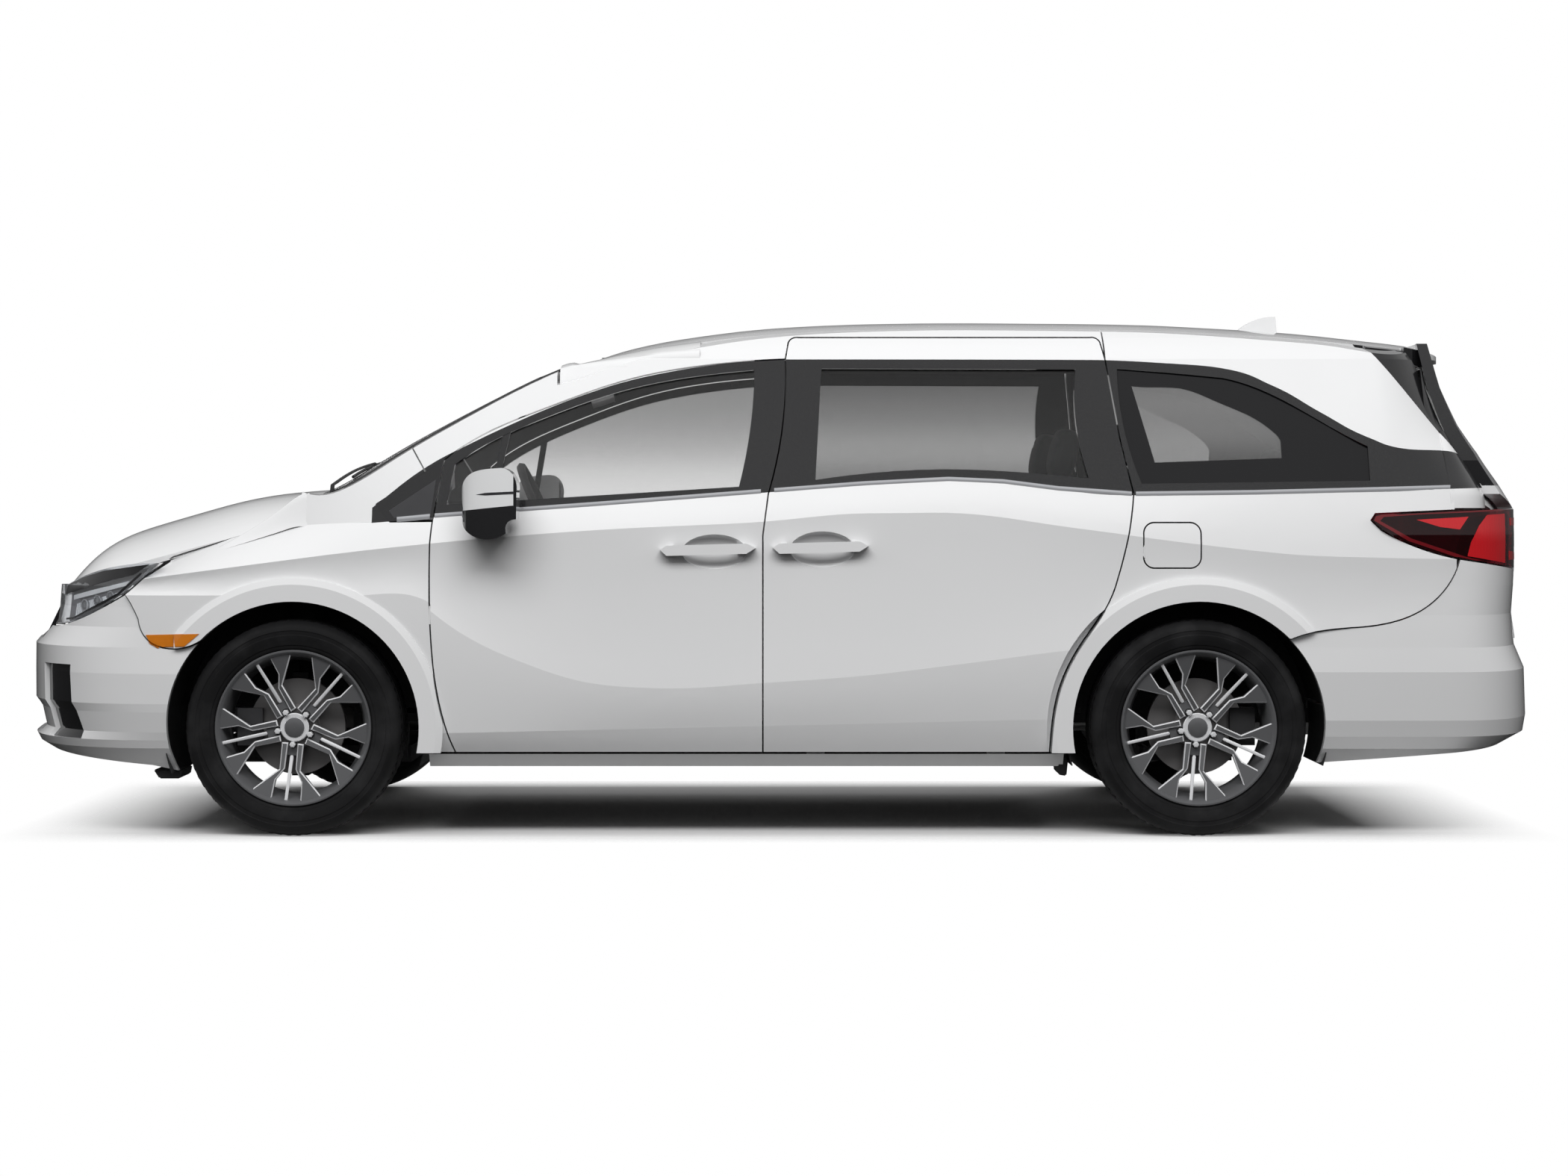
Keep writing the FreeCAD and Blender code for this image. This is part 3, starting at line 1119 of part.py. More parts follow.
def steering_wheel():
    """The steering wheel on its column: rim, three spokes and hub, turned on the column's slope."""
    centre = V(-820, -380, 1070)
    tilt = 24
    corners = [V(centre.x + 15 * math.sin(math.radians(turn)), centre.y, centre.z + 178 + 15 * math.cos(math.radians(turn)))
               for turn in range(0, 360, 60)]
    rim = Part.Face(Part.makePolygon(corners + corners[:1])).revolve(centre, V(1, 0, 0), 360)
    hub = Part.makeCylinder(62, 45, centre.add(V(-45, 0, 0)), V(1, 0, 0))
    spokes = [box(centre.x - 22, centre.x - 6, centre.y - 175, centre.y + 175, centre.z - 18, centre.z + 18),
              box(centre.x - 22, centre.x - 6, centre.y - 22, centre.y + 22, centre.z - 175, centre.z)]
    column = Part.makeCylinder(24, 180, centre.add(V(-225, 0, 0)), V(1, 0, 0))
    pieces = [piece.rotate(centre, V(0, 1, 0), -tilt) for piece in [rim, hub, column] + spokes]
    return pieces[0].multiFuse(pieces[1:])


def column_axis():
    """Direction of the steering column, towards the driver."""
    angle = math.radians(24)
    return V(math.cos(angle), 0, math.sin(angle))


MIRROR_SIDE = (
    ((-1028, 1085), (-1033, 1120), (-1030, 1165), (-1006, 1197), (-970, 1212), (-905, 1219)),
    ((-905, 1219), (-874, 1212), (-853, 1185), (-848, 1140)),
    ((-848, 1140), (-849, 1052)),
    ((-849, 1052), (-874, 1044), (-882, 1006)),
    ((-882, 1006), (-905, 994), (-985, 994), (-1014, 1012), (-1028, 1085)))


def mirror():
    """The right door mirror: a housing rounded in side and plan view, and its foot on the door."""
    front = side_y(-1000, 1060)
    reach = front + dim("mirror_reach")
    side = prism_xz([run(*points) for points in MIRROR_SIDE], front + 40, reach + 10)
    plan = prism_xy([
        run((-846, front + 62), (-846, reach - 6)), run((-846, reach - 6), (-880, reach), (-960, reach - 12),
                                                        (-1016, reach - 46), (-1034, reach - 84)),
        run((-1034, reach - 84), (-1012, front + 76), (-960, front + 64)), run((-960, front + 64), (-846, front + 62))],
        900, 1300)
    foot = box(-1000, -925, front - 20, front + 110, 998, 1044)
    return side.common(plan).fuse(foot).cut(side_slab(-1200, 80, 200, -SEAT_GAP))


def exhaust():
    """The exhaust pipe from the engine back to its silencer and tail pipe."""
    height = 305
    pipe = rod(V(-1390, 90, height), V(1180, 90, height), 28)
    bend = rod(V(1180, 90, height), V(1560, 300, height), 28)
    box_body = box(1700, 2050, 250, 520, 250, 340)
    link = rod(V(1560, 300, height), V(1720, 360, height), 28)
    tail = rod(V(2040, 400, height), V(2380, 600, height), 28)
    knees = [Part.makeSphere(28, V(1180, 90, height)), Part.makeSphere(28, V(1560, 300, height))]
    roof = dim("floor_height") - dim("floor_wall") - SEAT_GAP
    hangers = [box(x, x + 12, 84, 96, height, roof) for x in (-900, 300)]
    return pipe.multiFuse([bend, link, box_body, tail] + knees + hangers)


def engine():
    """The engine and gearbox as one block, on two mounts that reach the front rails."""
    block = box(-2180, -1780, -330, 330, 300, 800)
    reach = 440 - SEAT_GAP
    return block.multiFuse([box(-2010, -1950, -reach, reach, 420, 460)])


def fuel_door(margin):
    """The fuel lid's rounded outline with a margin added, as a prism on the left side."""
    blank = box(1215 - margin, 1405 + margin, -1100, -700, 890 - margin, 1041 + margin)
    corners = [edge for edge in blank.Edges if edge.BoundBox.YLength > 300]
    return blank.makeFillet(dim("lid_round") + margin, corners)


def tail_frame():
    """The frame behind the tailgate's rim and the pockets behind the tail lamps."""
    deep = 60 + SEAT_GAP
    ring = tail_wall(600, 1560, 26, deep).common(box(2190, 2700, -1000, 1000, 500, 1800))
    ring = ring.common(prism_yz(tailgate_outline(), 2000, 2700, -40))
    ring = ring.cut(prism_yz(tailgate_outline(), 2000, 2700, 38))
    pocket = end_wall(TAIL_LAMP_LEVELS, False, 1900, 22, 60 + SEAT_GAP)
    pocket = pocket.common(prism_xz(tail_lamp_outline(), 0, 1100, -30)).common(box(1900, 2700, 640, 1100, 800, 1200))
    return ring.multiFuse([pocket, mirrored(pocket)])


def body_rear():
    """Both rear quarter panels on the tailgate's frame, with the fuel filler's pocket on the left."""
    right = quarter_panel()
    left = mirrored(right).cut(fuel_door(EDGE))
    below = dim("roof_wall") + SEAT_GAP
    header = cross_top(ROOF_FACE, 2000, 2090, 690, below, 26)
    y = -side_y(LID_AXIS, 945) + 2
    pin = Part.makeCylinder(2, 40, V(LID_AXIS, y, 925), V(0, 0, 1))
    carrier = box(LID_AXIS - 14, LID_AXIS, y, y + 8, 930, 960)
    return right.multiFuse([left, header, tail_frame(), pin, carrier])


def fuel_lid():
    """The fuel lid on the left side, notched for its pin."""
    skin = mirrored(side_slab(1150, 1450, 12, 0, 3, 6))
    pin_room = Part.makeCylinder(2 + SEAT_GAP, 60, V(LID_AXIS, -side_y(LID_AXIS, 945) + 2, 915), V(0, 0, 1))
    return skin.common(fuel_door(-EDGE)).cut(pin_room)


def tailgate_lamp():
    """The right lamp on the tailgate."""
    return tail_wall(882, 1084, 30).common(box(2200, 2700, 420, 648, 890, 1080))


def side_glass():
    """The fixed side windows: the sliding doors' and the rear quarters'."""
    slide = window_glass(SLIDE_WINDOW, 60, 1120)
    quarter = window_glass(QUARTER_WINDOW, 1080, 2060)
    return Part.makeCompound([slide, quarter, mirrored(slide), mirrored(quarter)])


def named(name, shape):
    """A sub-part in the document, under its node's name."""
    item = doc.addObject("Part::Feature", name)
    item.Label = name
    item.Shape = shape
    item.Placement = FreeCAD.Placement()
    return item


def build():
    """Every sub-part of the van."""
    parts = []

    def add(name, shape):
        parts.append(named(name, shape))

    add("underbody", underbody())
    add("sills", sills())
    add("roof_rails", upper_frame())
    add("quarter_panels", body_rear())
    add("roof_panel", roof_panel())
    add("fenders", both(fender()))
    add("front_bumper", front_bumper())
    add("rear_bumper", rear_bumper())
    add("grille", slats())
    add("headlamps", both(headlamp()))
    add("tail_lamps", both(tail_lamp()))
    add("windscreen", windscreen())
    add("sail_panels", both(sail()))
    add("side_glass", side_glass())
    add("sliding_doors", both(sliding_door()))
    add("hood", hood())
    door = front_door()
    glass = window_glass(FRONT_WINDOW, -1150, 0)
    housing = mirror()
    for side, shape in (("right", door), ("left", mirrored(door))):
        add(f"front_door_{side}", shape)
    for side, shape in (("right", glass), ("left", mirrored(glass))):
        add(f"door_glass_{side}", shape)
    for side, shape in (("right", housing), ("left", mirrored(housing))):
        add(f"mirror_{side}", shape)
    add("tailgate", tailgate())
    add("tailgate_glass", tailgate_glass())
    add("tailgate_lamps", both(tailgate_lamp()))
    add("fuel_lid", fuel_lid())
    add("dashboard", dashboard())
    add("steering_wheel", steering_wheel())
    add("front_seats", both(seat(-150, 385, 500, 12, 560)))
    add("middle_seats", both(seat(800, 385, 480, 12, 560)))
    add("rear_bench", seat(1650, 0, 1000, 12, 500, 420))
    add("engine_block", engine())
    add("exhaust", exhaust())
    add("fuel_tank", box(150, 950, -330, 40, 190, 349.7))
    add("front_suspension", front_suspension())
    add("rear_suspension", rear_suspension())
    liners = [arch_liner(FRONT_AXLE, TOWER_FACE + SEAT_GAP, -2028, -1154),
              arch_liner(REAR_AXLE, INNER_ARCH + SEAT_GAP, 960, 1824)]
    add("arch_liners", Part.makeCompound(liners + [mirrored(item) for item in liners]))
    add("knuckle_right", knuckle())
    add("knuckle_left", mirrored(knuckle()))
    for end, axle in (("front", FRONT_AXLE), ("rear", REAR_AXLE)):
        for side, way in (("right", 1), ("left", -1)):
            centre = V(axle, way * WHEEL_Y, AXLE_Z)
            add(f"wheel_{end}_{side}", wheel(centre, way))
            add(f"tyre_{end}_{side}", tyre(centre, way))
    return parts


def check(parts):
    """Stop on any failed object or broken shape."""
    doc.recompute()
    for item in doc.Objects:
        if "Invalid" in item.State or "Error" in item.State:
            raise RuntimeError(f"{item.Label} failed: {item.State}")
    for item in parts:
        if item.Shape.isNull() or not item.Shape.isValid():
            raise RuntimeError(f"{item.Label} has no valid shape")


def export(parts):
    """One STEP file for each sub-part."""
    os.makedirs("parts", exist_ok=True)
    for item in parts:
        item.Shape.exportStep(os.path.join("parts", item.Label + ".step"))


pieces = build()
check(pieces)
export(pieces)
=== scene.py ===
"""Studio picture of the minivan: looks, fine pieces, light and camera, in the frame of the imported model."""

import json
import math

import bmesh
import bpy
from mathutils import Matrix, Vector
from mathutils.bvhtree import BVHTree
from mathutils.geometry import delaunay_2d_cdt


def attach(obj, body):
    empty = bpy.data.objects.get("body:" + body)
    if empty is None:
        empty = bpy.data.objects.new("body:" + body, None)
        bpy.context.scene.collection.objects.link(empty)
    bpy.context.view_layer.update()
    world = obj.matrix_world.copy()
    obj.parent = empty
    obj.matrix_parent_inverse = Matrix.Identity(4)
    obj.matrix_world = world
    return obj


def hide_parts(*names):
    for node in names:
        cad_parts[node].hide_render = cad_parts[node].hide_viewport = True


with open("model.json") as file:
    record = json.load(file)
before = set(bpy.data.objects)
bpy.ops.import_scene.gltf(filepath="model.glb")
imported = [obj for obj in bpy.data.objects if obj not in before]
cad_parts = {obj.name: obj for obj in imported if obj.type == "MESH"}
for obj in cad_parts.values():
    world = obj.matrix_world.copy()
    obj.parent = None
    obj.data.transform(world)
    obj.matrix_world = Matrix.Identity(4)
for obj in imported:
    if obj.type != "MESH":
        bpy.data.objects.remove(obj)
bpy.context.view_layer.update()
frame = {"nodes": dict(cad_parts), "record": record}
NODES = frame["nodes"]
SCENE = bpy.context.scene

FRONT_AXLE = -1.601
REAR_AXLE = 1.399
AXLE_Z = 0.36
WHEEL_Y = 0.855
SIDES = (("left", -1), ("right", 1))
ENDS = (("front", FRONT_AXLE), ("rear", REAR_AXLE))


# Shader helpers

class Graph:
    """A node tree, with short calls to add and join nodes."""

    def __init__(self, tree):
        self.tree = tree

    def feed(self, socket, value):
        """A link, a colour or a plain value into an input."""
        if isinstance(value, bpy.types.NodeSocket):
            self.tree.links.new(value, socket)
        elif socket.type == "RGBA":
            socket.default_value = (*value, 1)
        else:
            socket.default_value = value

    def add(self, kind, inputs=(), **attributes):
        """A node, with its attributes set and its inputs fed."""
        node = self.tree.nodes.new("ShaderNode" + kind)
        for key, value in attributes.items():
            setattr(node, key, value)
        for key, value in dict(inputs).items():
            self.feed(node.inputs[key], value)
        return node

    def axes(self, vector):
        """The X, Y and Z parts of a vector."""
        return tuple(self.add("SeparateXYZ", {"Vector": vector}).outputs)

    def math(self, operation, first, second=0.0):
        """A sum, product or comparison of two sockets or numbers."""
        node = self.add("Math", operation=operation)
        self.feed(node.inputs[0], first)
        self.feed(node.inputs[1], second)
        return node.outputs["Value"]

    def product(self, first, *others):
        """All the factors multiplied; of masks, where all of them hold."""
        for other in others:
            first = self.math("MULTIPLY", first, other)
        return first

    def inverse(self, mask):
        """One where the mask is zero."""
        return self.math("SUBTRACT", 1.0, mask)

    def above(self, value, limit):
        """One where the value is above the limit."""
        return self.math("GREATER_THAN", value, limit)

    def below(self, value, limit):
        """One where the value is below the limit."""
        return self.math("LESS_THAN", value, limit)

    def between(self, value, low, high):
        """One where the value is between two limits."""
        return self.product(self.above(value, low), self.below(value, high))

    def line(self, value, slope, start):
        """A straight line, read at a value."""
        return self.math("ADD", self.product(value, slope), start)

    def ramp(self, value, low, high, from_low=0.0, from_high=1.0):
        """A number moved from one range to another."""
        limits = {"From Min": from_low, "From Max": from_high, "To Min": low, "To Max": high}
        return self.add("MapRange", {"Value": value, **limits}).outputs["Result"]

    def curve(self, value, points, low, high):
        """A smooth line through (position, height) points, read at a value."""
        start, end = points[0][0], points[-1][0]
        node = self.add("FloatCurve", {"Value": self.ramp(value, 0, 1, start, end)})
        line = node.mapping.curves[0]
        spots = [((x - start) / (end - start), (z - low) / (high - low)) for x, z in points]
        line.points[0].location = spots[0]
        line.points[1].location = spots[-1]
        for spot in spots[1:-1]:
            line.points.new(*spot)
        for point in line.points:
            point.handle_type = "AUTO_CLAMPED"
        node.mapping.update()
        return self.ramp(node.outputs["Value"], low, high)

    def mix(self, factor, first, second):
        """A blend of two colours."""
        node = self.add("Mix", {"Factor": factor}, data_type="RGBA")
        ends = [socket for socket in node.inputs if socket.type == "RGBA"]
        self.feed(ends[0], first)
        self.feed(ends[1], second)
        return next(socket for socket in node.outputs if socket.type == "RGBA")


class Shader(Graph):
    """A material's node tree round its main shader."""

    def __init__(self, name, **values):
        self.material = bpy.data.materials.new(name)
        self.material.use_nodes = True
        super().__init__(self.material.node_tree)
        self.base = self.tree.nodes["Principled BSDF"]
        self.set(**values)

    def set(self, **values):
        """Numbers, colours or sockets on the main shader's inputs; an underscore stands for a space."""
        for key, value in values.items():
            self.feed(self.base.inputs[key.replace("_", " ")], value)

    def place(self):
        """The point in the object's own frame, in metres."""
        return self.add("TexCoord").outputs["Object"]

    def noise(self, scale, detail=4.0, stretch=(1, 1, 1)):
        """A noise of the point, stretched along the axes."""
        place = self.add("Mapping", {"Vector": self.place(), "Scale": stretch}).outputs["Vector"]
        return self.add("TexNoise", {"Vector": place, "Scale": scale, "Detail": detail}).outputs["Fac"]

    def bands(self, direction, scale, distortion=0.0):
        """A height in waves along a direction."""
        inputs = {"Vector": self.place(), "Scale": scale, "Distortion": distortion}
        return self.add("TexWave", inputs, wave_type="BANDS", bands_direction=direction).outputs["Fac"]

    def roughness(self, low, high, scale, stretch=(1, 1, 1)):
        """Roughness that wanders between two values."""
        self.set(Roughness=self.ramp(self.noise(scale, stretch=stretch), low, high))

    def bump(self, height, strength, distance):
        """Small relief from a height."""
        inputs = {"Height": height, "Strength": strength, "Distance": distance}
        self.set(Normal=self.add("Bump", inputs).outputs["Normal"])


# Lines of the glasshouse, as (x, z) in metres, and the heights between which they run
BELT = ((-1.4, 1.035), (-1.277, 1.045), (-1.139, 1.058), (-0.6, 1.097), (-0.027, 1.141), (0.285, 1.165),
        (0.571, 1.18), (0.754, 1.172), (0.936, 1.149), (1.183, 1.131), (1.587, 1.136), (2.003, 1.146),
        (2.381, 1.157))
GLASS_TOP = ((-1.347, 1.09), (-1.154, 1.236), (-1.03, 1.302), (-0.898, 1.366), (-0.767, 1.424),
             (-0.635, 1.475), (-0.503, 1.517), (-0.371, 1.547), (-0.239, 1.569), (-0.067, 1.586),
             (0.038, 1.592), (1.086, 1.59), (1.298, 1.58), (1.51, 1.561), (1.669, 1.503), (1.828, 1.41),
             (1.987, 1.322), (2.093, 1.288), (2.274, 1.277), (2.381, 1.157))
QUARTER_VIEW = ((1.17, 1.505), (1.1977, 1.4993), (1.3609, 1.4917), (1.4688, 1.4516), (1.6722, 1.3361),
                (1.6873, 1.3135), (1.72, 1.25))
GLASS_HEIGHTS = (1.0, 1.7)

# Where the paint turns black: the pillars' inner limit, and the tail's slope, foot and crown
PILLAR_INNER_Y = 0.56
TAIL_SLOPE, TAIL_START, TAIL_FOOT_Z = -0.8162, 3.330568, 1.165
CROWN_Z, CROWN_Y = 1.6, 0.555

# How light the glass's tint is at each height, ahead of the centre pillar and behind it: a grey tint with
# painted shade, darkest at the top
FRONT_TINT_AND_SHADE = ((1.1, 0.85), (1.17, 0.83), (1.32, 0.65), (1.44, 0.54), (1.6, 0.48))
REAR_TINT_AND_SHADE = ((1.1, 0.45), (1.2, 0.47), (1.29, 0.55), (1.4, 0.46), (1.55, 0.33))
CENTRE_PILLAR_X = -0.03

GLOSS_BLACK = (0.012, 0.012, 0.013)
GRAIN = 0.0004


def white_paint():
    """White clear-coated paint: gloss black between the window lines and round the tail, dark inside."""
    s = Shader("white_paint", Coat_Weight=1, Coat_Roughness=0.03, Specular_IOR_Level=0.5)
    x, y, z = s.axes(s.place())
    outwards = s.math("ABSOLUTE", y)
    belt, top = (s.curve(x, line, *GLASS_HEIGHTS) for line in (BELT, GLASS_TOP))
    window = s.product(s.above(z, belt), s.below(z, top), s.between(x, GLASS_TOP[0][0], 2.38),
                       s.above(outwards, PILLAR_INNER_Y))
    crown = s.product(s.above(z, CROWN_Z), s.below(outwards, CROWN_Y))
    tail = s.product(s.above(x, s.line(z, TAIL_SLOPE, TAIL_START)), s.above(z, TAIL_FOOT_Z), s.inverse(crown))
    facing = s.axes(s.add("TexCoord").outputs["Normal"])[1]
    inward = s.below(s.product(facing, s.math("SIGN", y)), -0.25)
    lined = s.product(inward, s.above(z, 0.34), s.above(x, -1.25))
    cloudy = s.mix(s.noise(2.0), (0.78, 0.785, 0.79), (0.8, 0.8, 0.805))
    skin = s.mix(s.math("MAXIMUM", window, tail), cloudy, GLOSS_BLACK)
    s.set(Base_Color=s.mix(lined, skin, (0.045, 0.045, 0.048)), Roughness=s.ramp(s.noise(900, 2), 0.22, 0.3))
    s.bump(s.noise(240, 2), 0.012, GRAIN)
    return s.material


def mirror_paint():
    """The door mirror: a white cap over a black bowl, and the mirror glass on its rear face."""
    s = Shader("mirror_paint", Coat_Weight=1, Coat_Roughness=0.03)
    x, _, z = s.axes(s.place())
    bowl = s.below(z, s.line(x, 0.1, 1.183))
    glass = s.above(x, -0.8485)
    rim = s.above(x, -0.858)
    shade = s.mix(s.math("MAXIMUM", bowl, rim), (0.79, 0.795, 0.8), (0.014, 0.014, 0.015))
    s.set(Base_Color=s.mix(glass, shade, (0.55, 0.57, 0.6)), Metallic=glass,
          Roughness=s.ramp(s.line(glass, -0.2, s.noise(700, 2)), 0.04, 0.3))
    s.bump(s.noise(240, 2), 0.01, GRAIN)
    return s.material


def plastic(name, colour, rough, grain=700.0, depth=0.15):
    """Moulded plastic with a fine grain."""
    s = Shader(name)
    hue = s.add("HueSaturation", {"Color": colour, "Value": s.ramp(s.noise(6), 0.85, 1.1)})
    s.set(Base_Color=hue.outputs["Color"])
    s.roughness(rough - 0.06, rough + 0.06, 30)
    s.bump(s.noise(grain, 3), depth, 0.0005)
    return s.material


def gloss_black():
    """Polished black trim."""
    s = Shader("gloss_black", Base_Color=GLOSS_BLACK, Coat_Weight=0.8, Coat_Roughness=0.04)
    s.roughness(0.08, 0.16, 12)
    s.bump(s.noise(200, 2), 0.01, GRAIN)
    return s.material


def metal(name, colour, rough_low, rough_high, scale, stretch=(1, 1, 1), depth=0.02, metallic=1.0):
    """Metal, smooth or brushed along its stretch; lacquered where it is less than fully metallic."""
    s = Shader(name, Metallic=metallic, Base_Color=colour)
    s.roughness(rough_low, rough_high, scale, stretch)
    s.bump(s.noise(scale * 4, 3, stretch), depth, 0.0005)
    return s.material


def tinted_glass():
    """Window glass whose tint carries a painted shade, darkest at the top; the rear quarter panes are printed
    black round their clear, slightly pale area.
    """
    s = Shader("tinted_glass", IOR=1.05, Coat_Weight=1, Coat_Roughness=0.01)
    s.roughness(0.0, 0.01, 3)
    x, _, z = s.axes(s.place())
    under = s.below(z, s.curve(x, QUARTER_VIEW, *GLASS_HEIGHTS))
    over = s.above(z, s.line(x, 0.0356, 1.1957))
    clear = s.product(under, over, s.above(x, s.line(z, -0.2521, 1.5757)), s.below(x, 1.687))
    quarter = s.between(x, 1.08, 2.08)
    printed = s.product(quarter, s.inverse(clear))
    # the clear area lets less light through and shows more of its tint towards its top
    paler_top = s.product(quarter, clear, s.ramp(z, 0.12, 0.34, 1.26, 1.44))
    # painted shade: the glass's tint grows darker towards the top, ahead of the centre pillar and behind it
    front, rear = s.curve(z, FRONT_TINT_AND_SHADE, 0.4, 0.9), s.curve(z, REAR_TINT_AND_SHADE, 0.3, 0.6)
    tint_and_shade = s.mix(s.above(x, CENTRE_PILLAR_X), front, rear)
    s.set(Base_Color=s.mix(printed, tint_and_shade, (0.01, 0.01, 0.011)),
          Transmission_Weight=s.math("SUBTRACT", s.inverse(printed), paler_top))
    return s.material


def lamp_glass(name, colour):
    """The clear or coloured cover of a lamp."""
    s = Shader(name, Base_Color=colour, Transmission_Weight=0.9, IOR=1.3, Coat_Weight=1, Coat_Roughness=0.02)
    s.roughness(0.02, 0.05, 8)
    s.bump(s.noise(40, 2, (1, 1, 5)), 0.03, 0.001)
    return s.material


def lamp_body(name, colour, metallic=0.0):
    """A lit or mirrored area in a lamp, ribbed and clear-coated."""
    s = Shader(name, Base_Color=colour, Metallic=metallic, Coat_Weight=1, Coat_Roughness=0.02)
    s.roughness(0.12, 0.24, 60)
    s.bump(s.bands("X", 55, 0.6), 0.35, 0.0015)
    return s.material


def rubber(name, colour, rough):
    """Tyre rubber, dusty in patches."""
    s = Shader(name, Specular_IOR_Level=0.3)
    dusty = tuple(c * 1.9 + 0.004 for c in colour)
    s.set(Base_Color=s.mix(s.ramp(s.noise(9, 6), 0, 1, 0.45, 0.75), colour, dusty))
    s.roughness(rough - 0.08, rough + 0.08, 25)
    s.bump(s.noise(900, 3), 0.12, 0.0006)
    return s.material


def cloth(name, colour):
    """Woven seat cloth with a sheen."""
    s = Shader(name, Sheen_Weight=0.3, Sheen_Roughness=0.5)
    weave = s.bands("DIAGONAL", 260)
    s.set(Base_Color=s.mix(weave, colour, tuple(c * 1.5 for c in colour)))
    s.roughness(0.75, 0.9, 40)
    s.bump(weave, 0.3, 0.0008)
    return s.material


PAINT = white_paint()
GLOSS = gloss_black()
DARK = plastic("dark_plastic", (0.022, 0.022, 0.023), 0.55)
CABIN = plastic("cabin_plastic", (0.05, 0.05, 0.053), 0.6, 500, 0.3)
COATED = plastic("underbody_coating", (0.03, 0.03, 0.031), 0.7, 120, 0.4)
CAST = metal("cast_metal", (0.23, 0.23, 0.24), 0.5, 0.7, 40, depth=0.15)
STEEL = metal("steel", (0.5, 0.5, 0.5), 0.25, 0.45, 90, (1, 8, 8))
CHROME = metal("chrome", (0.72, 0.73, 0.76), 0.06, 0.14, 20, metallic=0.55)
DISC = metal("brake_disc", (0.34, 0.33, 0.33), 0.28, 0.42, 30, depth=0.05, metallic=0.7)
ALLOY = metal("dark_alloy", (0.17, 0.172, 0.178), 0.26, 0.36, 50, metallic=0.45)
MACHINED = metal("machined_alloy", (0.86, 0.865, 0.88), 0.16, 0.26, 50, metallic=0.25)
DARK_CHROME = metal("dark_chrome", (0.1, 0.1, 0.11), 0.12, 0.22, 40, depth=0.03)
GLASS = tinted_glass()
CLEAR = lamp_glass("lamp_clear", (0.85, 0.87, 0.9))
RED = lamp_glass("lamp_red", (0.085, 0.004, 0.008))
AMBER = lamp_glass("lamp_amber", (0.9, 0.28, 0.02))
TYRE = rubber("tyre_rubber", (0.01, 0.01, 0.0105), 0.58)
SEAT = cloth("seat_cloth", (0.05, 0.05, 0.055))
LINING = plastic("roof_lining", (0.1, 0.1, 0.1), 0.85, 900, 0.3)
MILK = lamp_body("light_bar", (0.8, 0.82, 0.84))
RIBBED = lamp_body("reflector", (0.62, 0.64, 0.66), 1.0)
LENS = lamp_body("lens", (0.1, 0.105, 0.115), 0.3)
LIT_RED = lamp_body("lit_red", (0.62, 0.012, 0.018))
RED_EDGE = lamp_body("red_edge", (0.16, 0.006, 0.01))
SMOKED = lamp_body("smoked", (0.035, 0.035, 0.038))
MIRROR = mirror_paint()

SLOT_LOOKS = {
    "paint": PAINT, "black_trim": GLOSS, "black_plastic": DARK, "chassis": COATED, "cast_metal": CAST,
    "steel": STEEL, "glass": GLASS, "lamp_clear": CLEAR, "lamp_red": RED, "cabin_plastic": CABIN,
    "seat_fabric": SEAT, "wheel_alloy": ALLOY, "tyre": TYRE,
}


def dress_nodes():
    """Every CAD node takes the look of its slot in the record, and the mirrors their own."""
    for part in frame["record"]["subparts"]:
        mesh = NODES[part["node"]].data
        mesh.materials.clear()
        mirror = part["node"].startswith("mirror_")
        mesh.materials.append(MIRROR if mirror else SLOT_LOOKS[part["material_slot"]])


# Meshes and objects

def new_object(name, mesh):
    """An object in the scene."""
    obj = bpy.data.objects.new(name, mesh)
    SCENE.collection.objects.link(obj)
    return obj


def new_mesh(name, bm, *looks):
    """The bmesh as a mesh with its normals outwards, in these looks."""
    bmesh.ops.recalc_face_normals(bm, faces=bm.faces)
    mesh = bpy.data.meshes.new(name)
    bm.to_mesh(mesh)
    bm.free()
    for look in looks:
        mesh.materials.append(look)
    return mesh


def smooth_by_angle(obj, degrees):
    """Soft shading with crisp edges."""
    for face in obj.data.polygons:
        face.use_smooth = True
    obj.data.set_sharp_from_angle(angle=math.radians(degrees))


def finish_piece(name, bm, material, body, angle=40):
    """The bmesh as an object that rides on its body."""
    obj = new_object(name, new_mesh(name, bm, material))
    smooth_by_angle(obj, angle)
    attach(obj, body)
    return obj


def join_rings(bm, rings, material=0, closed=False):
    """Faces from each ring of vertices to the next, and from the last to the first if it is closed."""
    count = len(rings[0])
    for a, b in zip(rings, rings[1:] + rings[:1] if closed else rings[1:]):
        for k in range(count):
            face = bm.faces.new((a[k], a[(k + 1) % count], b[(k + 1) % count], b[k]))
            face.material_index = material


def circle(sides):
    """The angles of so many points round a circle."""
    return [2 * math.pi * k / sides for k in range(sides)]


def lathe(bm, profile, steps, material=0):
    """A closed section of (radius, depth) turned round the Y axis."""
    rings = [[bm.verts.new((r * math.sin(t), y, r * math.cos(t))) for r, y in profile] for t in circle(steps)]
    join_rings(bm, rings, material, closed=True)
    return rings


def turned(profile, steps, place, axis, inner=0.0):
    """A section turned round an axis that stands at a place; within the inner radius, in the second look."""
    bm = bmesh.new()
    lathe(bm, profile, steps)
    for face in bm.faces:
        face.material_index = int(all(math.hypot(v.co.x, v.co.z) < inner for v in face.verts))
    turn = Vector((0, 1, 0)).rotation_difference(Vector(axis)).to_matrix().to_4x4()
    bmesh.ops.transform(bm, matrix=Matrix.Translation(place) @ turn, verts=bm.verts)
    return bm


def add_bar(bm, rings):
    """A solid through rings of points, both ends closed."""
    rings = [[bm.verts.new(point) for point in ring] for ring in rings]
    join_rings(bm, rings)
    bm.faces.new(rings[0][::-1])
    bm.faces.new(rings[-1])


def bar_piece(name, rings, material, body):
    """A bar through rings of points as a piece of its own."""
    bm = bmesh.new()
    add_bar(bm, rings)
    finish_piece(name, bm, material, body)


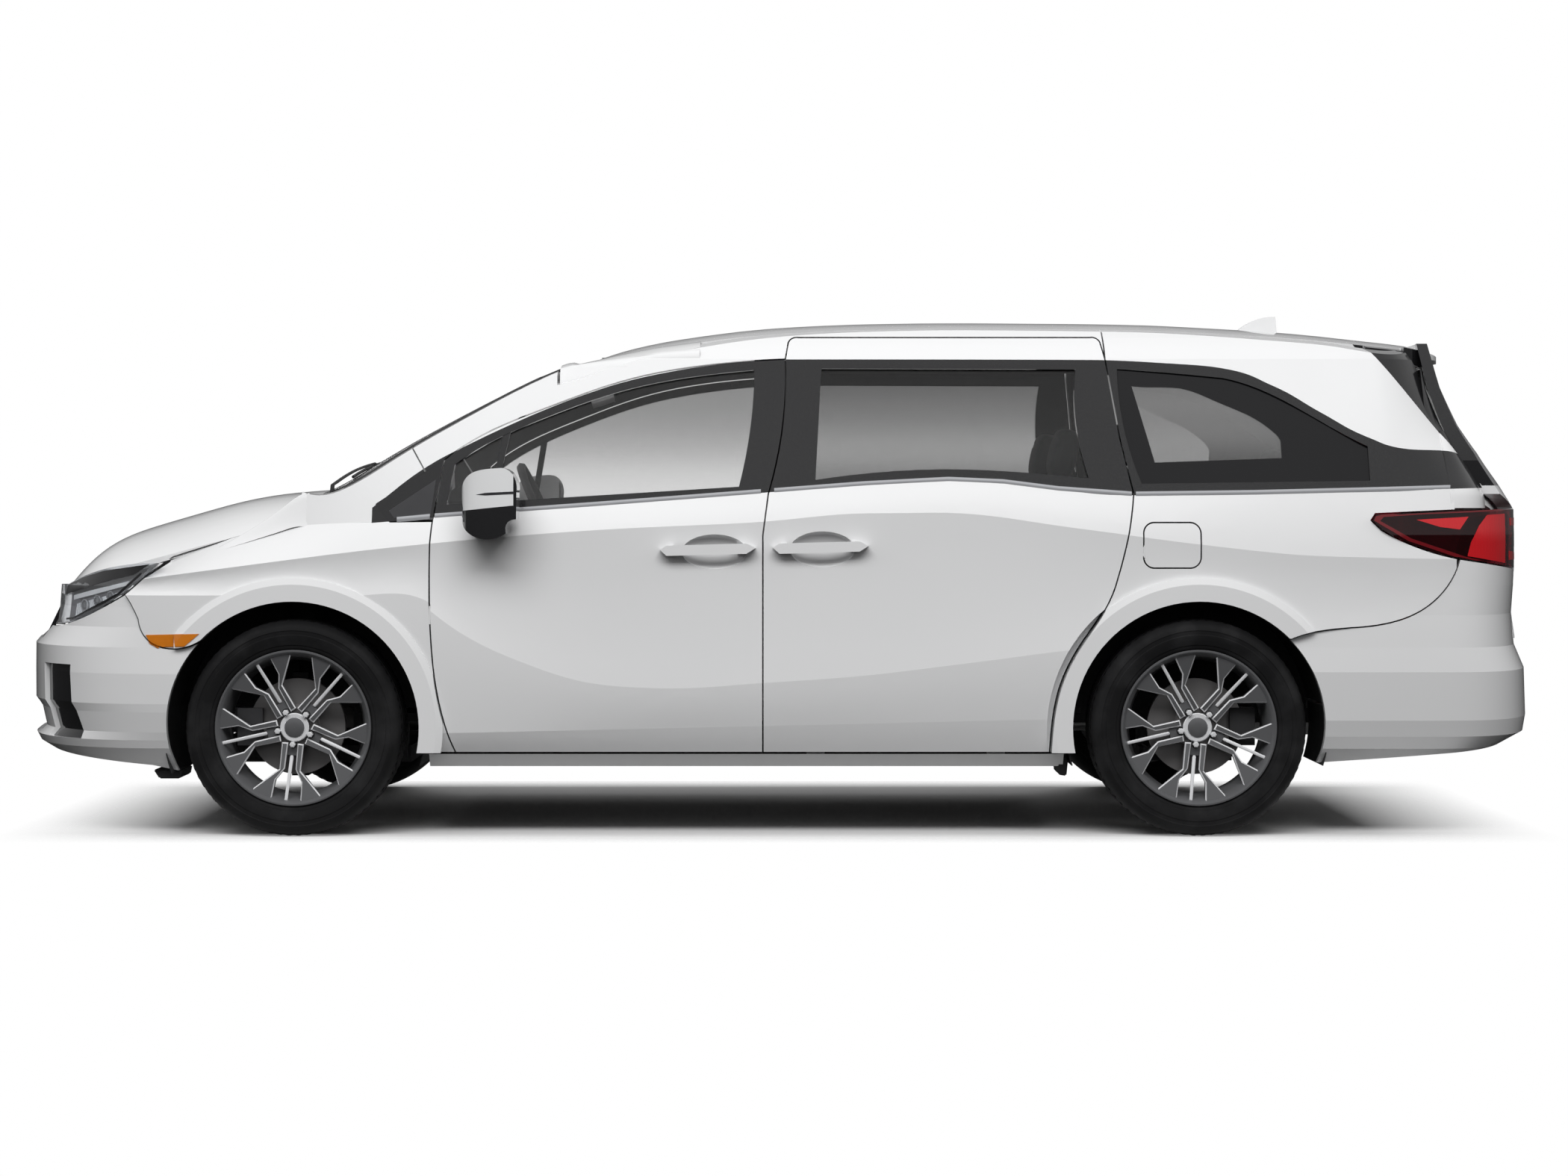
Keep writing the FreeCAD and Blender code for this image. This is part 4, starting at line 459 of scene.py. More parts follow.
def thick(name, points, faces, offsets, material, body, angle=40):
    """A sheet made solid between its points and the same points moved by their offsets."""
    bm = bmesh.new()
    top = [bm.verts.new(p) for p in points]
    low = [bm.verts.new(Vector(p) + Vector(o)) for p, o in zip(points, offsets)]
    edges = {}
    for face in faces:
        bm.faces.new([top[k] for k in face])
        bm.faces.new([low[k] for k in reversed(face)])
        for a, b in zip(face, face[1:] + face[:1]):
            key = (min(a, b), max(a, b))
            edges[key] = None if key in edges else (a, b)
    for pair in edges.values():
        if pair:
            a, b = pair
            bm.faces.new((top[b], top[a], low[a], low[b]))
    finish_piece(name, bm, material, body, angle)


def sheet(name, rows, offset, material, body, angle=50):
    """A sheet through rows of points, made solid by an offset, or by a function of each point."""
    width = len(rows[0])
    points = [Vector(p) for row in rows for p in row]
    faces = [[r * width + k, r * width + k + 1, (r + 1) * width + k + 1, (r + 1) * width + k]
             for r in range(len(rows) - 1) for k in range(width - 1)]
    offsets = [offset(p) if callable(offset) else offset for p in points]
    thick(name, points, faces, offsets, material, body, angle)


class Surface:
    """The outer surface of some CAD nodes, felt along straight lines."""

    def __init__(self, *names):
        verts, faces = [], []
        for name in names:
            mesh = NODES[name].data
            base = len(verts)
            verts += [v.co.copy() for v in mesh.vertices]
            faces += [[base + k for k in p.vertices] for p in mesh.polygons]
        self.tree = BVHTree.FromPolygons(verts, faces)

    def hit(self, start, ahead):
        """Where a line from the start meets the surface, and the normal there, or None twice."""
        return self.tree.ray_cast(Vector(start), Vector(ahead))[:2]

    def from_side(self, x, z, way):
        """The point and the normal at (x, z), felt from the side of this sign."""
        return self.hit((x, way * 1.6, z), (0, -way, 0))

    def from_above(self, x, y):
        """The point and the normal at (x, y), felt from above."""
        return self.hit((x, y, 2.5), (0, 0, -1))

    def from_behind(self, y, z):
        """The point and the normal at (y, z), felt from behind; past its edge, the nearest ones."""
        place, normal = self.hit((3.2, y, z), (-1, 0, 0))
        return (place, normal) if place else self.tree.find_nearest(Vector((2.5, y, z)))[:2]

    def height(self, x, y):
        """The height of the top at (x, y), or None past its edge."""
        place = self.from_above(x, y)[0]
        return place.z if place else None

    def spot(self, x, z, way):
        """The side's point at (x, z) and its outward normal; past its edge, those close by."""
        for shift in EDGE_SHIFTS:
            place, normal = self.from_side(x, z + shift, way)
            if place:
                return place, (normal if normal.y * way > 0 else -normal)
        place = self.tree.find_nearest(Vector((x, way * 0.95, z)))[0]
        return Vector((x, place.y, z)), Vector((0, way, 0))


EDGE_SHIFTS = [0.0] + [shift * sign for shift in (0.004, 0.008, 0.014, 0.022, 0.032) for sign in (1, -1)]


def line_at(points, x):
    """The height of a line of (x, z) points at x."""
    for (x0, z0), (x1, z1) in zip(points, points[1:]):
        if x0 <= x <= x1:
            return z0 + (z1 - z0) * (x - x0) / (x1 - x0)
    return points[0][1] if x < points[0][0] else points[-1][1]


def evenly(start, end, count):
    """Numbers from the start to the end, in so many steps."""
    return [start + (end - start) * k / count for k in range(count + 1)]


# Wheels and tyres, drawn from their own sections

WHEEL_HALF = 0.1175
SPOKE_FACE = 0.074
SPOKE_BACK = 0.05
SPOKE_REACH = 0.2467
SPOKES = 5

# Outlines of one spoke as (radius, sideways)
SPOKE_ARM = ((0.052, 0.0155), (0.139, 0.0178), (0.179, 0.0435), (SPOKE_REACH, 0.0482), (0.2293, 0.0985),
             (0.2198, 0.1197), (0.142, 0.0355), (0.053, 0.0365))
SPOKE_RIB = ((0.094, 0.0035), (0.098, 0.0055), (SPOKE_REACH, 0.005), (SPOKE_REACH, -0.005), (0.098, -0.0055),
             (0.094, -0.0035))
SPOKE_WEB = ((0.04, 0.016), (0.094, 0.0165), (0.094, -0.0165), (0.04, -0.016))
NUT_RADIUS = 0.057

# Each step of a wheel nut: radius, depths, number of sides and look
NUT_STEPS = ((0.0135, 0.055, 0.065, 24, 3), (0.01, 0.058, 0.084, 6, 1), (0.0072, 0.08, 0.085, 20, 1))

# Tyre: half of its section as (radius, inwards from the flank), and the two edges of each rib of the tread
TYRE_RADIUS = 0.36
FLANK = ((0.2433, 0.0238), (0.2593, 0.0182), (0.264, 0.013), (0.27, 0.0105), (0.274, 0.01), (0.276, 0.007),
         (0.29, 0.003), (0.303, 0.0006), (0.308, 0.0002), (0.31, 0.0022), (0.322, 0.0018), (0.324, 0.0004),
         (0.33, 0.002), (0.34, 0.0062), (0.348, 0.0135), (0.353, 0.022), (0.3562, 0.029))
RIBS = ((0.086, 0.06), (0.053, 0.023), (0.016, -0.016), (-0.023, -0.053), (-0.06, -0.086))
GROOVE_DEPTH = 0.0075
CUT_DEPTH = 0.0035
TYRE_STEPS = 216


def polar(points, turn):
    """Points of (radius, sideways) turned clockwise from straight up, as (x, z)."""
    c, s = math.cos(turn), math.sin(turn)
    return [(r * s + v * c, r * c - v * s) for r, v in points]


def plate(bm, outline, low, high, look, edge_look, chamfer):
    """An outline of (x, z) made solid between two depths, its front edges chamfered."""
    front = bm.faces.new([bm.verts.new((x, high, z)) for x, z in outline])
    made = bmesh.ops.extrude_face_region(bm, geom=[front])["geom"]
    back = [item for item in made if isinstance(item, bmesh.types.BMVert)]
    for v in back:
        v.co.y = low
    for face in [front] + [face for v in back for face in v.link_faces]:
        face.material_index = look
    bmesh.ops.bevel(bm, geom=front.edges[:], offset=chamfer, segments=1, affect="EDGES", material=edge_look)


def wheel_mesh():
    """One alloy wheel with its brake disc, its face towards +Y, about its own centre."""
    bm = bmesh.new()
    seat, lip, half = 0.243, 0.259, WHEEL_HALF
    rim = [(0.2505, half - 0.011), (0.2525, half - 0.0085), (lip - 0.002, half - 0.0085), (lip, half - 0.011),
           (lip, half - 0.018), (seat, half - 0.023), (seat - 0.002, 0.06), (seat - 0.012, 0.045),
           (seat - 0.012, -0.06), (seat, -half + 0.023), (lip, -half + 0.018), (lip, -half + 0.009),
           (seat - 0.006, -half + 0.009), (seat - 0.018, -0.05), (seat - 0.02, 0.03), (seat - 0.012, 0.055),
           (0.2385, 0.0925)]
    lathe(bm, rim, 96)
    lathe(bm, [(0.16, 0.009), (0.16, -0.016), (0.074, -0.016), (0.074, 0.009)], 72, 2)
    lathe(bm, [(0.074, 0.009), (0.071, 0.05), (0.03, 0.052), (0.03, 0.0)], 48, 2)
    turned_count = len(bm.verts)
    for turn in (math.radians(30) + angle for angle in circle(SPOKES)):
        for way in (1, -1):
            arm = polar([(r, v * way) for r, v in SPOKE_ARM], turn)
            plate(bm, arm[::-way], SPOKE_BACK - 0.004, SPOKE_FACE, 0, 1, 0.0038)
        plate(bm, polar(SPOKE_RIB, turn), SPOKE_BACK, SPOKE_FACE - 0.006, 1, 1, 0.0022)
        plate(bm, polar(SPOKE_WEB, turn), SPOKE_BACK, SPOKE_FACE - 0.011, 0, 0, 0.001)
        x, z = polar([(NUT_RADIUS, 0)], turn)[0]
        for radius, low, high, sides, look in NUT_STEPS:
            ring = [(x + radius * math.cos(t), z + radius * math.sin(t)) for t in circle(sides)]
            plate(bm, ring, low, high, look, look, 0.0012)
    bm.verts.ensure_lookup_table()
    for v in bm.verts[turned_count:]:
        reach = math.hypot(v.co.x, v.co.z)
        v.co.y += 0.026 * max(0.0, (reach - 0.14) / 0.11)
        if reach > 0.237:
            v.co.y = max(v.co.y, 0.0955)
    hub = [(0.048, -0.024), (0.048, -0.004), (0.045, -0.001), (0.0355, -0.001), (0.0345, -0.003),
           (0.033, 0.001), (0.026, 0.0035), (0.012, 0.0045), (0.0004, 0.0048), (0.0004, -0.024)]
    lathe(bm, [(r, SPOKE_FACE + y) for r, y in hub], 64)
    ring_y = SPOKE_FACE - 0.0045
    for face in bm.faces:
        if all(0.0325 < math.hypot(v.co.x, v.co.z) < 0.0485 and v.co.y > ring_y for v in face.verts):
            face.material_index = 1
    return new_mesh("alloy_wheel", bm, ALLOY, MACHINED, DISC, DARK)


def tyre_mesh():
    """One tyre: beads, ringed flanks, shoulders with cuts and a tread of five ribs between grooves."""
    def crown(y):
        return TYRE_RADIUS - 0.0004 - 0.225 * y * y

    bm = bmesh.new()
    floor = TYRE_RADIUS - GROOVE_DEPTH
    flank = [(r, WHEEL_HALF - inwards) for r, inwards in FLANK]
    tread = []
    for low, high in RIBS:
        tread += [(floor, low + 0.0005), (crown(low), low - 0.0008), (crown(high), high + 0.0008),
                  (floor, high - 0.0005)]
    tread[0] = (0.3572, 0.0868)
    tread[-1] = (0.3572, -0.0868)
    profile = flank + tread + [(r, -y) for r, y in reversed(flank)]
    first = len(flank)
    last = first + len(tread)
    for ring in lathe(bm, profile, TYRE_STEPS)[::3]:
        for v in ring[first:first + 4] + ring[last - 4:last]:
            v.co.xz = v.co.xz * (1 - CUT_DEPTH / v.co.xz.length)
    return new_mesh("road_tyre", bm, TYRE)


def add_wheels():
    """Wheels and tyres on their four bodies."""
    wheel = wheel_mesh()
    tyre = tyre_mesh()
    for end, axle in ENDS:
        for side, way in SIDES:
            turn = Matrix.Rotation(0 if way > 0 else math.pi, 4, "Z")
            place = Matrix.Translation((axle, way * WHEEL_Y, AXLE_Z))
            for kind, mesh, angle, slot in (("wheel", wheel, 30, "wheel_alloy"), ("tyre", tyre, 24, "tyre")):
                piece = new_object(f"{kind}_{end}_{side}_fine", mesh.copy())
                piece.data.transform(place @ turn)
                smooth_by_angle(piece, angle)
                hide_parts(f"{kind}_{end}_{side}")
                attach(piece, f"wheel_{end}_{side}")


# Strips and lamp details that lie on the body's side

# The strip's section, as (outwards, upwards)
STRIP = ((-0.002, -0.009), (0.0022, -0.008), (0.0034, -0.002), (0.0034, 0.003), (0.0022, 0.008),
         (-0.002, 0.009))
STRIP_LIFT = 0.004
STRIP_STEP = 0.03

MARKER = ((-2.086, 0.6695), (-1.906, 0.6735), (-1.955, 0.632), (-2.052, 0.629), (-2.072, 0.64))
SAIL_INLAY = ((-1.29, 1.08), (-1.136, 1.184), (-1.15, 1.062), (-1.272, 1.056))
SIGNAL = ((-0.981, 1.1325), (-0.95, 1.1385), (-0.858, 1.143), (-0.853, 1.135), (-0.95, 1.13))
HOUSING = ((-2.405, 0.712), (-2.366, 0.718), (-2.232, 0.778), (-2.185, 0.805), (-2.085, 0.893),
           (-2.24, 0.868), (-2.33, 0.843), (-2.395, 0.815))
BROW = ((-2.4, 0.828), (-2.33, 0.856), (-2.24, 0.88), (-2.075, 0.903), (-2.13, 0.868), (-2.23, 0.845),
        (-2.33, 0.817), (-2.412, 0.795))
LIGHT_BAR = ((-2.372, 0.795), (-2.29, 0.815), (-2.15, 0.847), (-2.158, 0.832), (-2.29, 0.799), (-2.372, 0.78))
REFLECTOR = ((-2.362, 0.768), (-2.24, 0.797), (-2.16, 0.818), (-2.18, 0.806), (-2.235, 0.779),
             (-2.368, 0.724))
BEZEL = ((-2.4, 0.712), (-2.366, 0.716), (-2.232, 0.775), (-2.18, 0.803), (-2.1, 0.872), (-2.108, 0.874),
         (-2.186, 0.808), (-2.236, 0.782), (-2.364, 0.722), (-2.4, 0.718))
TAIL_WEDGE = ((2.118, 1.05), (2.293, 1.06), (2.262, 1.018), (2.196, 1.026))
TAIL_CORE = ((2.362, 1.066), (2.33, 1.03), (2.3, 0.975), (2.288, 0.93), (2.44, 0.905), (2.44, 1.07))
TAIL_RIM = ((1.985, 1.066), (2.14, 1.076), (2.44, 1.09), (2.44, 1.08), (2.14, 1.068), (2.01, 1.059),
            (1.998, 1.046), (2.1, 0.988), (2.28, 0.928), (2.43, 0.896), (2.43, 0.888), (2.262, 0.922),
            (2.09, 0.98), (1.978, 1.047))

# Front plates: name, outline, look, slot, lift and thickness; rear plates: name, outline, look and lift
HEADLAMP_PLATES = (
    ("housing", HOUSING, DARK_CHROME, "black_trim", -0.034, 0.004),
    ("brow", BROW, GLOSS, "black_trim", 0.0012, 0.004),
    ("light_bar", LIGHT_BAR, MILK, "lamp_clear", -0.007, 0.01),
    ("reflector", REFLECTOR, RIBBED, "lamp_clear", -0.018, 0.008),
    ("bezel", BEZEL, GLOSS, "black_trim", 0.001, 0.006),
)
TAIL_LAMP_PLATES = (("wedge", TAIL_WEDGE, LIT_RED, 0.001), ("core", TAIL_CORE, LIT_RED, 0.001),
                    ("rim", TAIL_RIM, RED_EDGE, 0.0014))
LENSES = ((-2.325, 0.764, 0.0155), (-2.272, 0.781, 0.0135), (-2.222, 0.797, 0.0115))
LENS_LIFT = -0.012
FINE_STEP = 0.008


def add_belt_strips():
    """The bright strip under the side windows, one length for each panel that it crosses."""
    for side, way in SIDES:
        spans = (
            ("sail", "root", -1.262, -1.152, ("sail_panels", "fenders")),
            ("door", f"front_door_{side}", -1.136, -0.052, (f"front_door_{side}",)),
            ("slide", "root", -0.038, 1.18, ("sliding_doors",)),
            ("quarter", "root", 1.194, 2.33, ("quarter_panels",)),
        )
        for name, body, start, end, nodes in spans:
            skin = Surface(*nodes)
            rings = []
            for x in evenly(start, end, max(4, int((end - start) / STRIP_STEP))):
                z = line_at(BELT, x) + STRIP_LIFT
                place = skin.from_side(x, z, way)[0]
                if place:
                    rings.append([(x, place.y + way * out, z + up) for out, up in STRIP])
            bar_piece(f"belt_strip_{name}_{side}", rings, CHROME, body)


def dense(outline, step):
    """The outline with points no further apart than a step."""
    points = []
    for (x0, z0), (x1, z1) in zip(outline, outline[1:] + outline[:1]):
        count = max(1, math.ceil(math.hypot(x1 - x0, z1 - z0) / step))
        points += [Vector((x0 + (x1 - x0) * k / count, z0 + (z1 - z0) * k / count)) for k in range(count)]
    return points


def draped(name, outline, skin, way, material, body, lift, depth, step=0.02):
    """A plate that follows the skin inside an outline of (x, z) points."""
    rim = dense(outline, step)
    corner = [min(p[axis] for p in rim) for axis in (0, 1)]
    counts = [int((max(p[axis] for p in rim) - corner[axis]) / step) + 1 for axis in (0, 1)]
    grid = [Vector((corner[0] + (i + 0.5) * step, corner[1] + (j + 0.5) * step))
            for i in range(counts[0]) for j in range(counts[1])]
    inner = [spot for spot in grid if all((spot - p).length > step * 0.45 for p in rim)]
    edges = [(k, (k + 1) % len(rim)) for k in range(len(rim))]
    flat, _, faces, *_ = delaunay_2d_cdt(rim + inner, edges, [], 1, 1e-6)
    found = [skin.spot(v.x, v.y, way) for v in flat]
    points = [spot + normal * lift for spot, normal in found]
    offsets = [normal * -depth for _, normal in found]
    thick(name, points, [list(face) for face in faces], offsets, material, body)


def add_lens(name, skin, x, z, way, radius):
    """A small round projector lens in a bright ring, square to the skin."""
    spot, normal = skin.spot(x, z, way)
    profile = [(radius * r, y) for r, y in ((1.32, -0.004), (1.32, 0.003), (1.18, 0.005), (1.06, 0.001))]
    profile += [(radius * math.cos(t), radius * 0.55 * math.sin(t)) for t in (0, 0.35, 0.7, 1.05, 1.4)]
    profile += [(0.0003, radius * 0.56), (0.0003, -0.004)]
    bm = turned(profile, 32, spot + normal * LENS_LIFT, normal, radius * 1.03)
    obj = finish_piece(name, bm, CHROME, "root")
    obj.data.materials.append(LENS)


def add_lamp_details():
    """The front lamps' plates and lenses, the rear lamps' lit areas, and the markers, inlays and signals."""
    front, rear, sails = Surface("headlamps"), Surface("tail_lamps"), Surface("sail_panels")
    nose = Surface("front_bumper", "fenders")
    for side, way in SIDES:
        for name, outline, look, slot, lift, depth in HEADLAMP_PLATES:
            draped(f"headlamp_{name}_{side}", outline, front, way, look, "root", lift, depth)
        for index, (x, z, radius) in enumerate(LENSES):
            add_lens(f"headlamp_lens_{index}_{side}", front, x, z, way, radius)
        for name, outline, look, lift in TAIL_LAMP_PLATES:
            draped(f"tail_lamp_{name}_{side}", outline, rear, way, look, "root", lift, 0.004)
        draped(f"side_marker_{side}", MARKER, nose, way, AMBER, "root", 0.0028, 0.006, FINE_STEP)
        draped(f"sail_inlay_{side}", SAIL_INLAY, sails, way, CABIN, "root", 0.0008, 0.003)
        draped(f"mirror_signal_{side}", SIGNAL, Surface(f"mirror_{side}"), way, SMOKED, f"front_door_{side}",
               0.0008, 0.003, FINE_STEP)


# Seats and lining

SEAT_Z = 0.64
SEAT_LEAN = math.radians(12)
SEAM_DEPTH = 0.006
SEAM_WIDTH = 0.005
RUNNER_FOOT_Z = 0.3803


def pad(half, crown, power, seams, cuts=22):
    """A stuffed block about its own centre: rounded, crowned, with seam grooves at (axis, place)."""
    bm = bmesh.new()
    bmesh.ops.create_cube(bm, size=2)
    bmesh.ops.subdivide_edges(bm, edges=bm.edges[:], cuts=cuts, use_grid_fill=True)
    thin = half.index(min(half))
    for v in bm.verts:
        p = v.co / sum(abs(c) ** power for c in v.co) ** (1 / power)
        groove = sum(math.exp(-((p[axis] - place) * half[axis] / SEAM_WIDTH) ** 2) for axis, place in seams)
        bulge = crown * (1 - p[(thin + 1) % 3] ** 2) * (1 - p[(thin + 2) % 3] ** 2)
        spot = Vector(c * h for c, h in zip(p, half))
        spot[thin] += (bulge - SEAM_DEPTH * groove) * p[thin]
        v.co = spot
    return bm


def soft_piece(name, bm, move, node):
    """A stuffed piece at its place, instead of a seat node."""
    bmesh.ops.transform(bm, matrix=move, verts=bm.verts)
    obj = finish_piece(name, bm, SEAT, "root", 60)
    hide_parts(node)


def add_seat(name, node, x, y, wide, back_tall, deep, places=1):
    """A seat with a cushion, a back and head restraints on stalks, over its runners."""
    at = Matrix.Translation
    pivot = Vector((x, y, SEAT_Z))
    lean = at(pivot) @ Matrix.Rotation(SEAT_LEAN, 4, "Y") @ at(-pivot)
    half = wide / 2 - 0.004
    seam = 0.62 if places == 1 else 0.34
    side_seams = [(1, -seam), (1, seam)]
    cushion = pad((deep / 2 + 0.01, half, 0.07), 0.012, 6, [(0, -0.45), (0, 0.1)] + side_seams)
    soft_piece(f"{name}_cushion", cushion, at((x - deep / 2 + 0.01, y, SEAT_Z)), node)
    back = pad((0.062, half, back_tall / 2), 0.012, 6, [(2, -0.3), (2, 0.35)] + side_seams)
    soft_piece(f"{name}_back", back, lean @ at((x + 0.0625, y, 0.63 + back_tall / 2)), node)
    for index, shift in enumerate([0.0] if places == 1 else [-0.3, 0.3]):
        head = pad((0.043, 0.128, 0.088), 0.006, 3.6, [(2, 0.45)], 16)
        soft_piece(f"{name}_head_{index}", head, lean @ at((x + 0.065, y + shift, 0.745 + back_tall)), node)
        bm = bmesh.new()
        for offset in (-0.055, 0.055):
            move = lean @ at((x + 0.058, y + shift + offset, 0.655 + back_tall))
            bmesh.ops.create_cone(bm, cap_ends=True, segments=16, radius1=0.006, radius2=0.006, depth=0.09,
                                  matrix=move)
        finish_piece(f"{name}_stalks_{index}", bm, STEEL, "root")
    fore = x - deep + 0.04
    rail = ((fore, RUNNER_FOOT_Z), (x - 0.02, RUNNER_FOOT_Z), (x - 0.02, 0.405), (x - 0.05, 0.585),
            (fore + 0.03, 0.585), (fore, 0.405))
    bm = bmesh.new()
    for middle in (y - wide / 2 + 0.06, y + wide / 2 - 0.06):
        add_bar(bm, [[(px, middle + shift, pz) for px, pz in rail] for shift in (-0.02, 0.02)])
    finish_piece(f"{name}_runners", bm, DARK, "root", 30)


def add_cabin():
    """Seats in three rows, and the roof's lining."""
    for side, way in SIDES:
        add_seat(f"front_seat_{side}", "front_seats", -0.15, way * 0.385, 0.5, 0.56, 0.5)
        add_seat(f"middle_seat_{side}", "middle_seats", 0.8, way * 0.385, 0.48, 0.56, 0.5)
    add_seat("rear_seat", "rear_bench", 1.65, 0.0, 1.0, 0.5, 0.42, 2)
    roof = Surface("roof_panel")
    rows = []
    for x in evenly(-0.6, 1.98, 43):
        row = []
        for y in evenly(-0.56, 0.56, 16):
            droop = 0.022 * (max(0.0, abs(y) - 0.46) / 0.1) ** 2
            row.append((x, y, (roof.height(x, y) or 1.7) - 0.078 - droop))
        rows.append(row)
    sheet("headliner", rows, (0, 0, 0.006), LINING, "root", 40)


# Wipers, flaps and other small pieces

# Each front wiper: name, the arm's foot and tip, and the blade's ends, as (x, y)
WIPERS = (
    ("left", (-1.53, -0.58), (-1.425, -0.18), (-1.462, -0.5), (-1.405, 0.06)),
    ("right", (-1.545, 0.1), (-1.44, 0.44), (-1.47, 0.14), (-1.392, 0.62)),
)
WIPER_FOOT = ((0.0003, -0.012), (0.019, -0.012), (0.019, 0.004), (0.015, 0.011), (0.0003, 0.013))
REAR_WIPER_FOOT = ((0.0003, -0.004), (0.024, -0.004), (0.023, 0.02), (0.018, 0.032), (0.0003, 0.036))

# Each air deflector: name, outline as (x, z), and its inner and outer edge
DEFLECTORS = (
    ("front", ((-2.084, 0.214), (-2.064, 0.184), (-1.996, 0.184), (-1.99, 0.214)), 0.66, 0.86),
    ("rear", ((0.936, 0.236), (0.94, 0.2), (0.966, 0.196), (0.972, 0.25), (0.96, 0.262)), 0.72, 0.9),
)

LINER_RADIUS = 0.4335
LINER_OUTER_Y = 0.925
LINER_INNER_Y = {"front": 0.522, "rear": 0.55}
LINER_THICKNESS = Vector((0.008, 0, 0.008))
LINER_TOP = 9.0
LINER_FOOT = -17.0
LINER_FRONT_FOOT = -20.5

# The body's corner beside the rear window: height, y at the side, and (x, y) at the gate's edge
CORNER = ((1.089, -0.943, 2.386, -0.792), (1.12, -0.938, 2.384, -0.788), (1.14, -0.933, 2.38, -0.785),
          (1.16, -0.924, 2.368, -0.78), (1.2, -0.892, 2.345, -0.779), (1.25, -0.852, 2.312, -0.779),
          (1.3, -0.812, 2.282, -0.769), (1.35, -0.771, 2.255, -0.758))
CORNER_X = 2.238
ROOF_SIDE = ((-0.93, 1.47), (-0.86, 1.501), (-0.8, 1.53), (-0.74, 1.555), (-0.68, 1.571), (-0.6, 1.582),
             (-0.5, 1.594), (-0.4, 1.61), (-0.26, 1.617))
FOOT_HEIGHTS = (1.03, 1.05, 1.075, 1.1, 1.12, 1.134)
FOOT_STEP = 0.417 / 22
ROOF_INNER_Y = 0.545
ROOF_OUTER_Y = 0.722
SEARCH_STEP = 0.002

# Each group of lit bars: name, body, node, and the corners of its bars as (y, z) with the look of each
REAR_BARS = (
    ("tail_lamp", "root", "tail_lamps", (
        (((0.69, 0.915), (0.8, 0.915), (0.8, 0.945), (0.69, 0.94)), LIT_RED),
        (((0.69, 1.03), (0.78, 1.03), (0.78, 1.056), (0.69, 1.056)), LIT_RED))),
    ("gate_lamp", "tailgate", "tailgate_lamps", (
        (((0.4, 0.914), (0.63, 0.914), (0.63, 0.938), (0.415, 0.938)), LIT_RED),
        (((0.4, 1.03), (0.63, 1.03), (0.63, 1.056), (0.43, 1.056)), LIT_RED),
        (((0.49, 0.965), (0.63, 0.958), (0.63, 1.004), (0.51, 1.000)), SMOKED))),
)


def rod_along(name, points, radius, body="root", sides=10, flat=1.0):
    """A round or flattened black bar through points, its ends closed."""
    rings = []
    for index, point in enumerate(points):
        ahead = (points[min(len(points) - 1, index + 1)] - points[max(0, index - 1)]).normalized()
        across = ahead.cross(Vector((0, 0, 1))).normalized()
        over = across.cross(ahead).normalized() * flat
        rings.append([point + (across * math.cos(t) + over * math.sin(t)) * radius for t in circle(sides)])
    bar_piece(name, rings, DARK, body)


def points_over(surface, start, end, steps, low, high):
    """Points over a surface between two (x, y) places, lifted by low at the ends and by high midway."""
    found = []
    for share in evenly(0, 1, steps):
        place, normal = surface.from_above(*Vector(start).lerp(Vector(end), share))
        if place:
            found.append(place + normal * (low + (high - low) * math.sin(math.pi * share)))
    return found


def add_wipers():
    """Two wipers at the foot of the windscreen, and one on the rear window."""
    screen = Surface("windscreen", "hood", "underbody")
    for name, foot, tip, blade_start, blade_end in WIPERS:
        rod_along(f"wiper_arm_{name}", points_over(screen, foot, tip, 14, 0.012, 0.022), 0.0075, flat=0.6)
        blade = points_over(screen, blade_start, blade_end, 22, 0.006, 0.007)
        rod_along(f"wiper_blade_{name}", blade, 0.0055, sides=8)
        place, normal = screen.from_above(*foot)
        bm = turned(WIPER_FOOT, 28, place + normal * 0.008, (0, 0, 1))
        finish_piece(f"wiper_pivot_{name}", bm, DARK, "root")
    back = Surface("tailgate", "tailgate_glass")

    def behind(y, z, lift):
        place, normal = back.from_behind(y, z)
        return place + normal * lift

    shares = evenly(0, 1, 14)
    arm = [behind(0.46 * t, 1.222 + 0.045 * t, 0.02 + 0.012 * math.sin(math.pi * t)) for t in shares]
    rod_along("rear_wiper_arm", arm, 0.008, "tailgate", flat=0.7)
    blade = [behind(0.12 + 0.4 * t, 1.24 + 0.036 * t, 0.007) for t in shares]
    rod_along("rear_wiper_blade", blade, 0.0055, "tailgate", 8)
    bm = turned(REAR_WIPER_FOOT, 28, behind(0.0, 1.222, 0.0), (1, 0, 0.25))
    finish_piece("rear_wiper_pivot", bm, DARK, "tailgate")


def add_flaps():
    """The air deflectors ahead of the front and the rear wheels."""
    for side, way in SIDES:
        for name, outline, inner, outer in DEFLECTORS:
            bm = bmesh.new()
            add_bar(bm, [[(x, way * y, z) for x, z in outline] for y in (inner, outer)])
            bmesh.ops.recalc_face_normals(bm, faces=bm.faces)
            bmesh.ops.bevel(bm, geom=bm.edges[:], offset=0.004, segments=3, affect="EDGES")
            finish_piece(f"{name}_deflector_{side}", bm, DARK, "root")


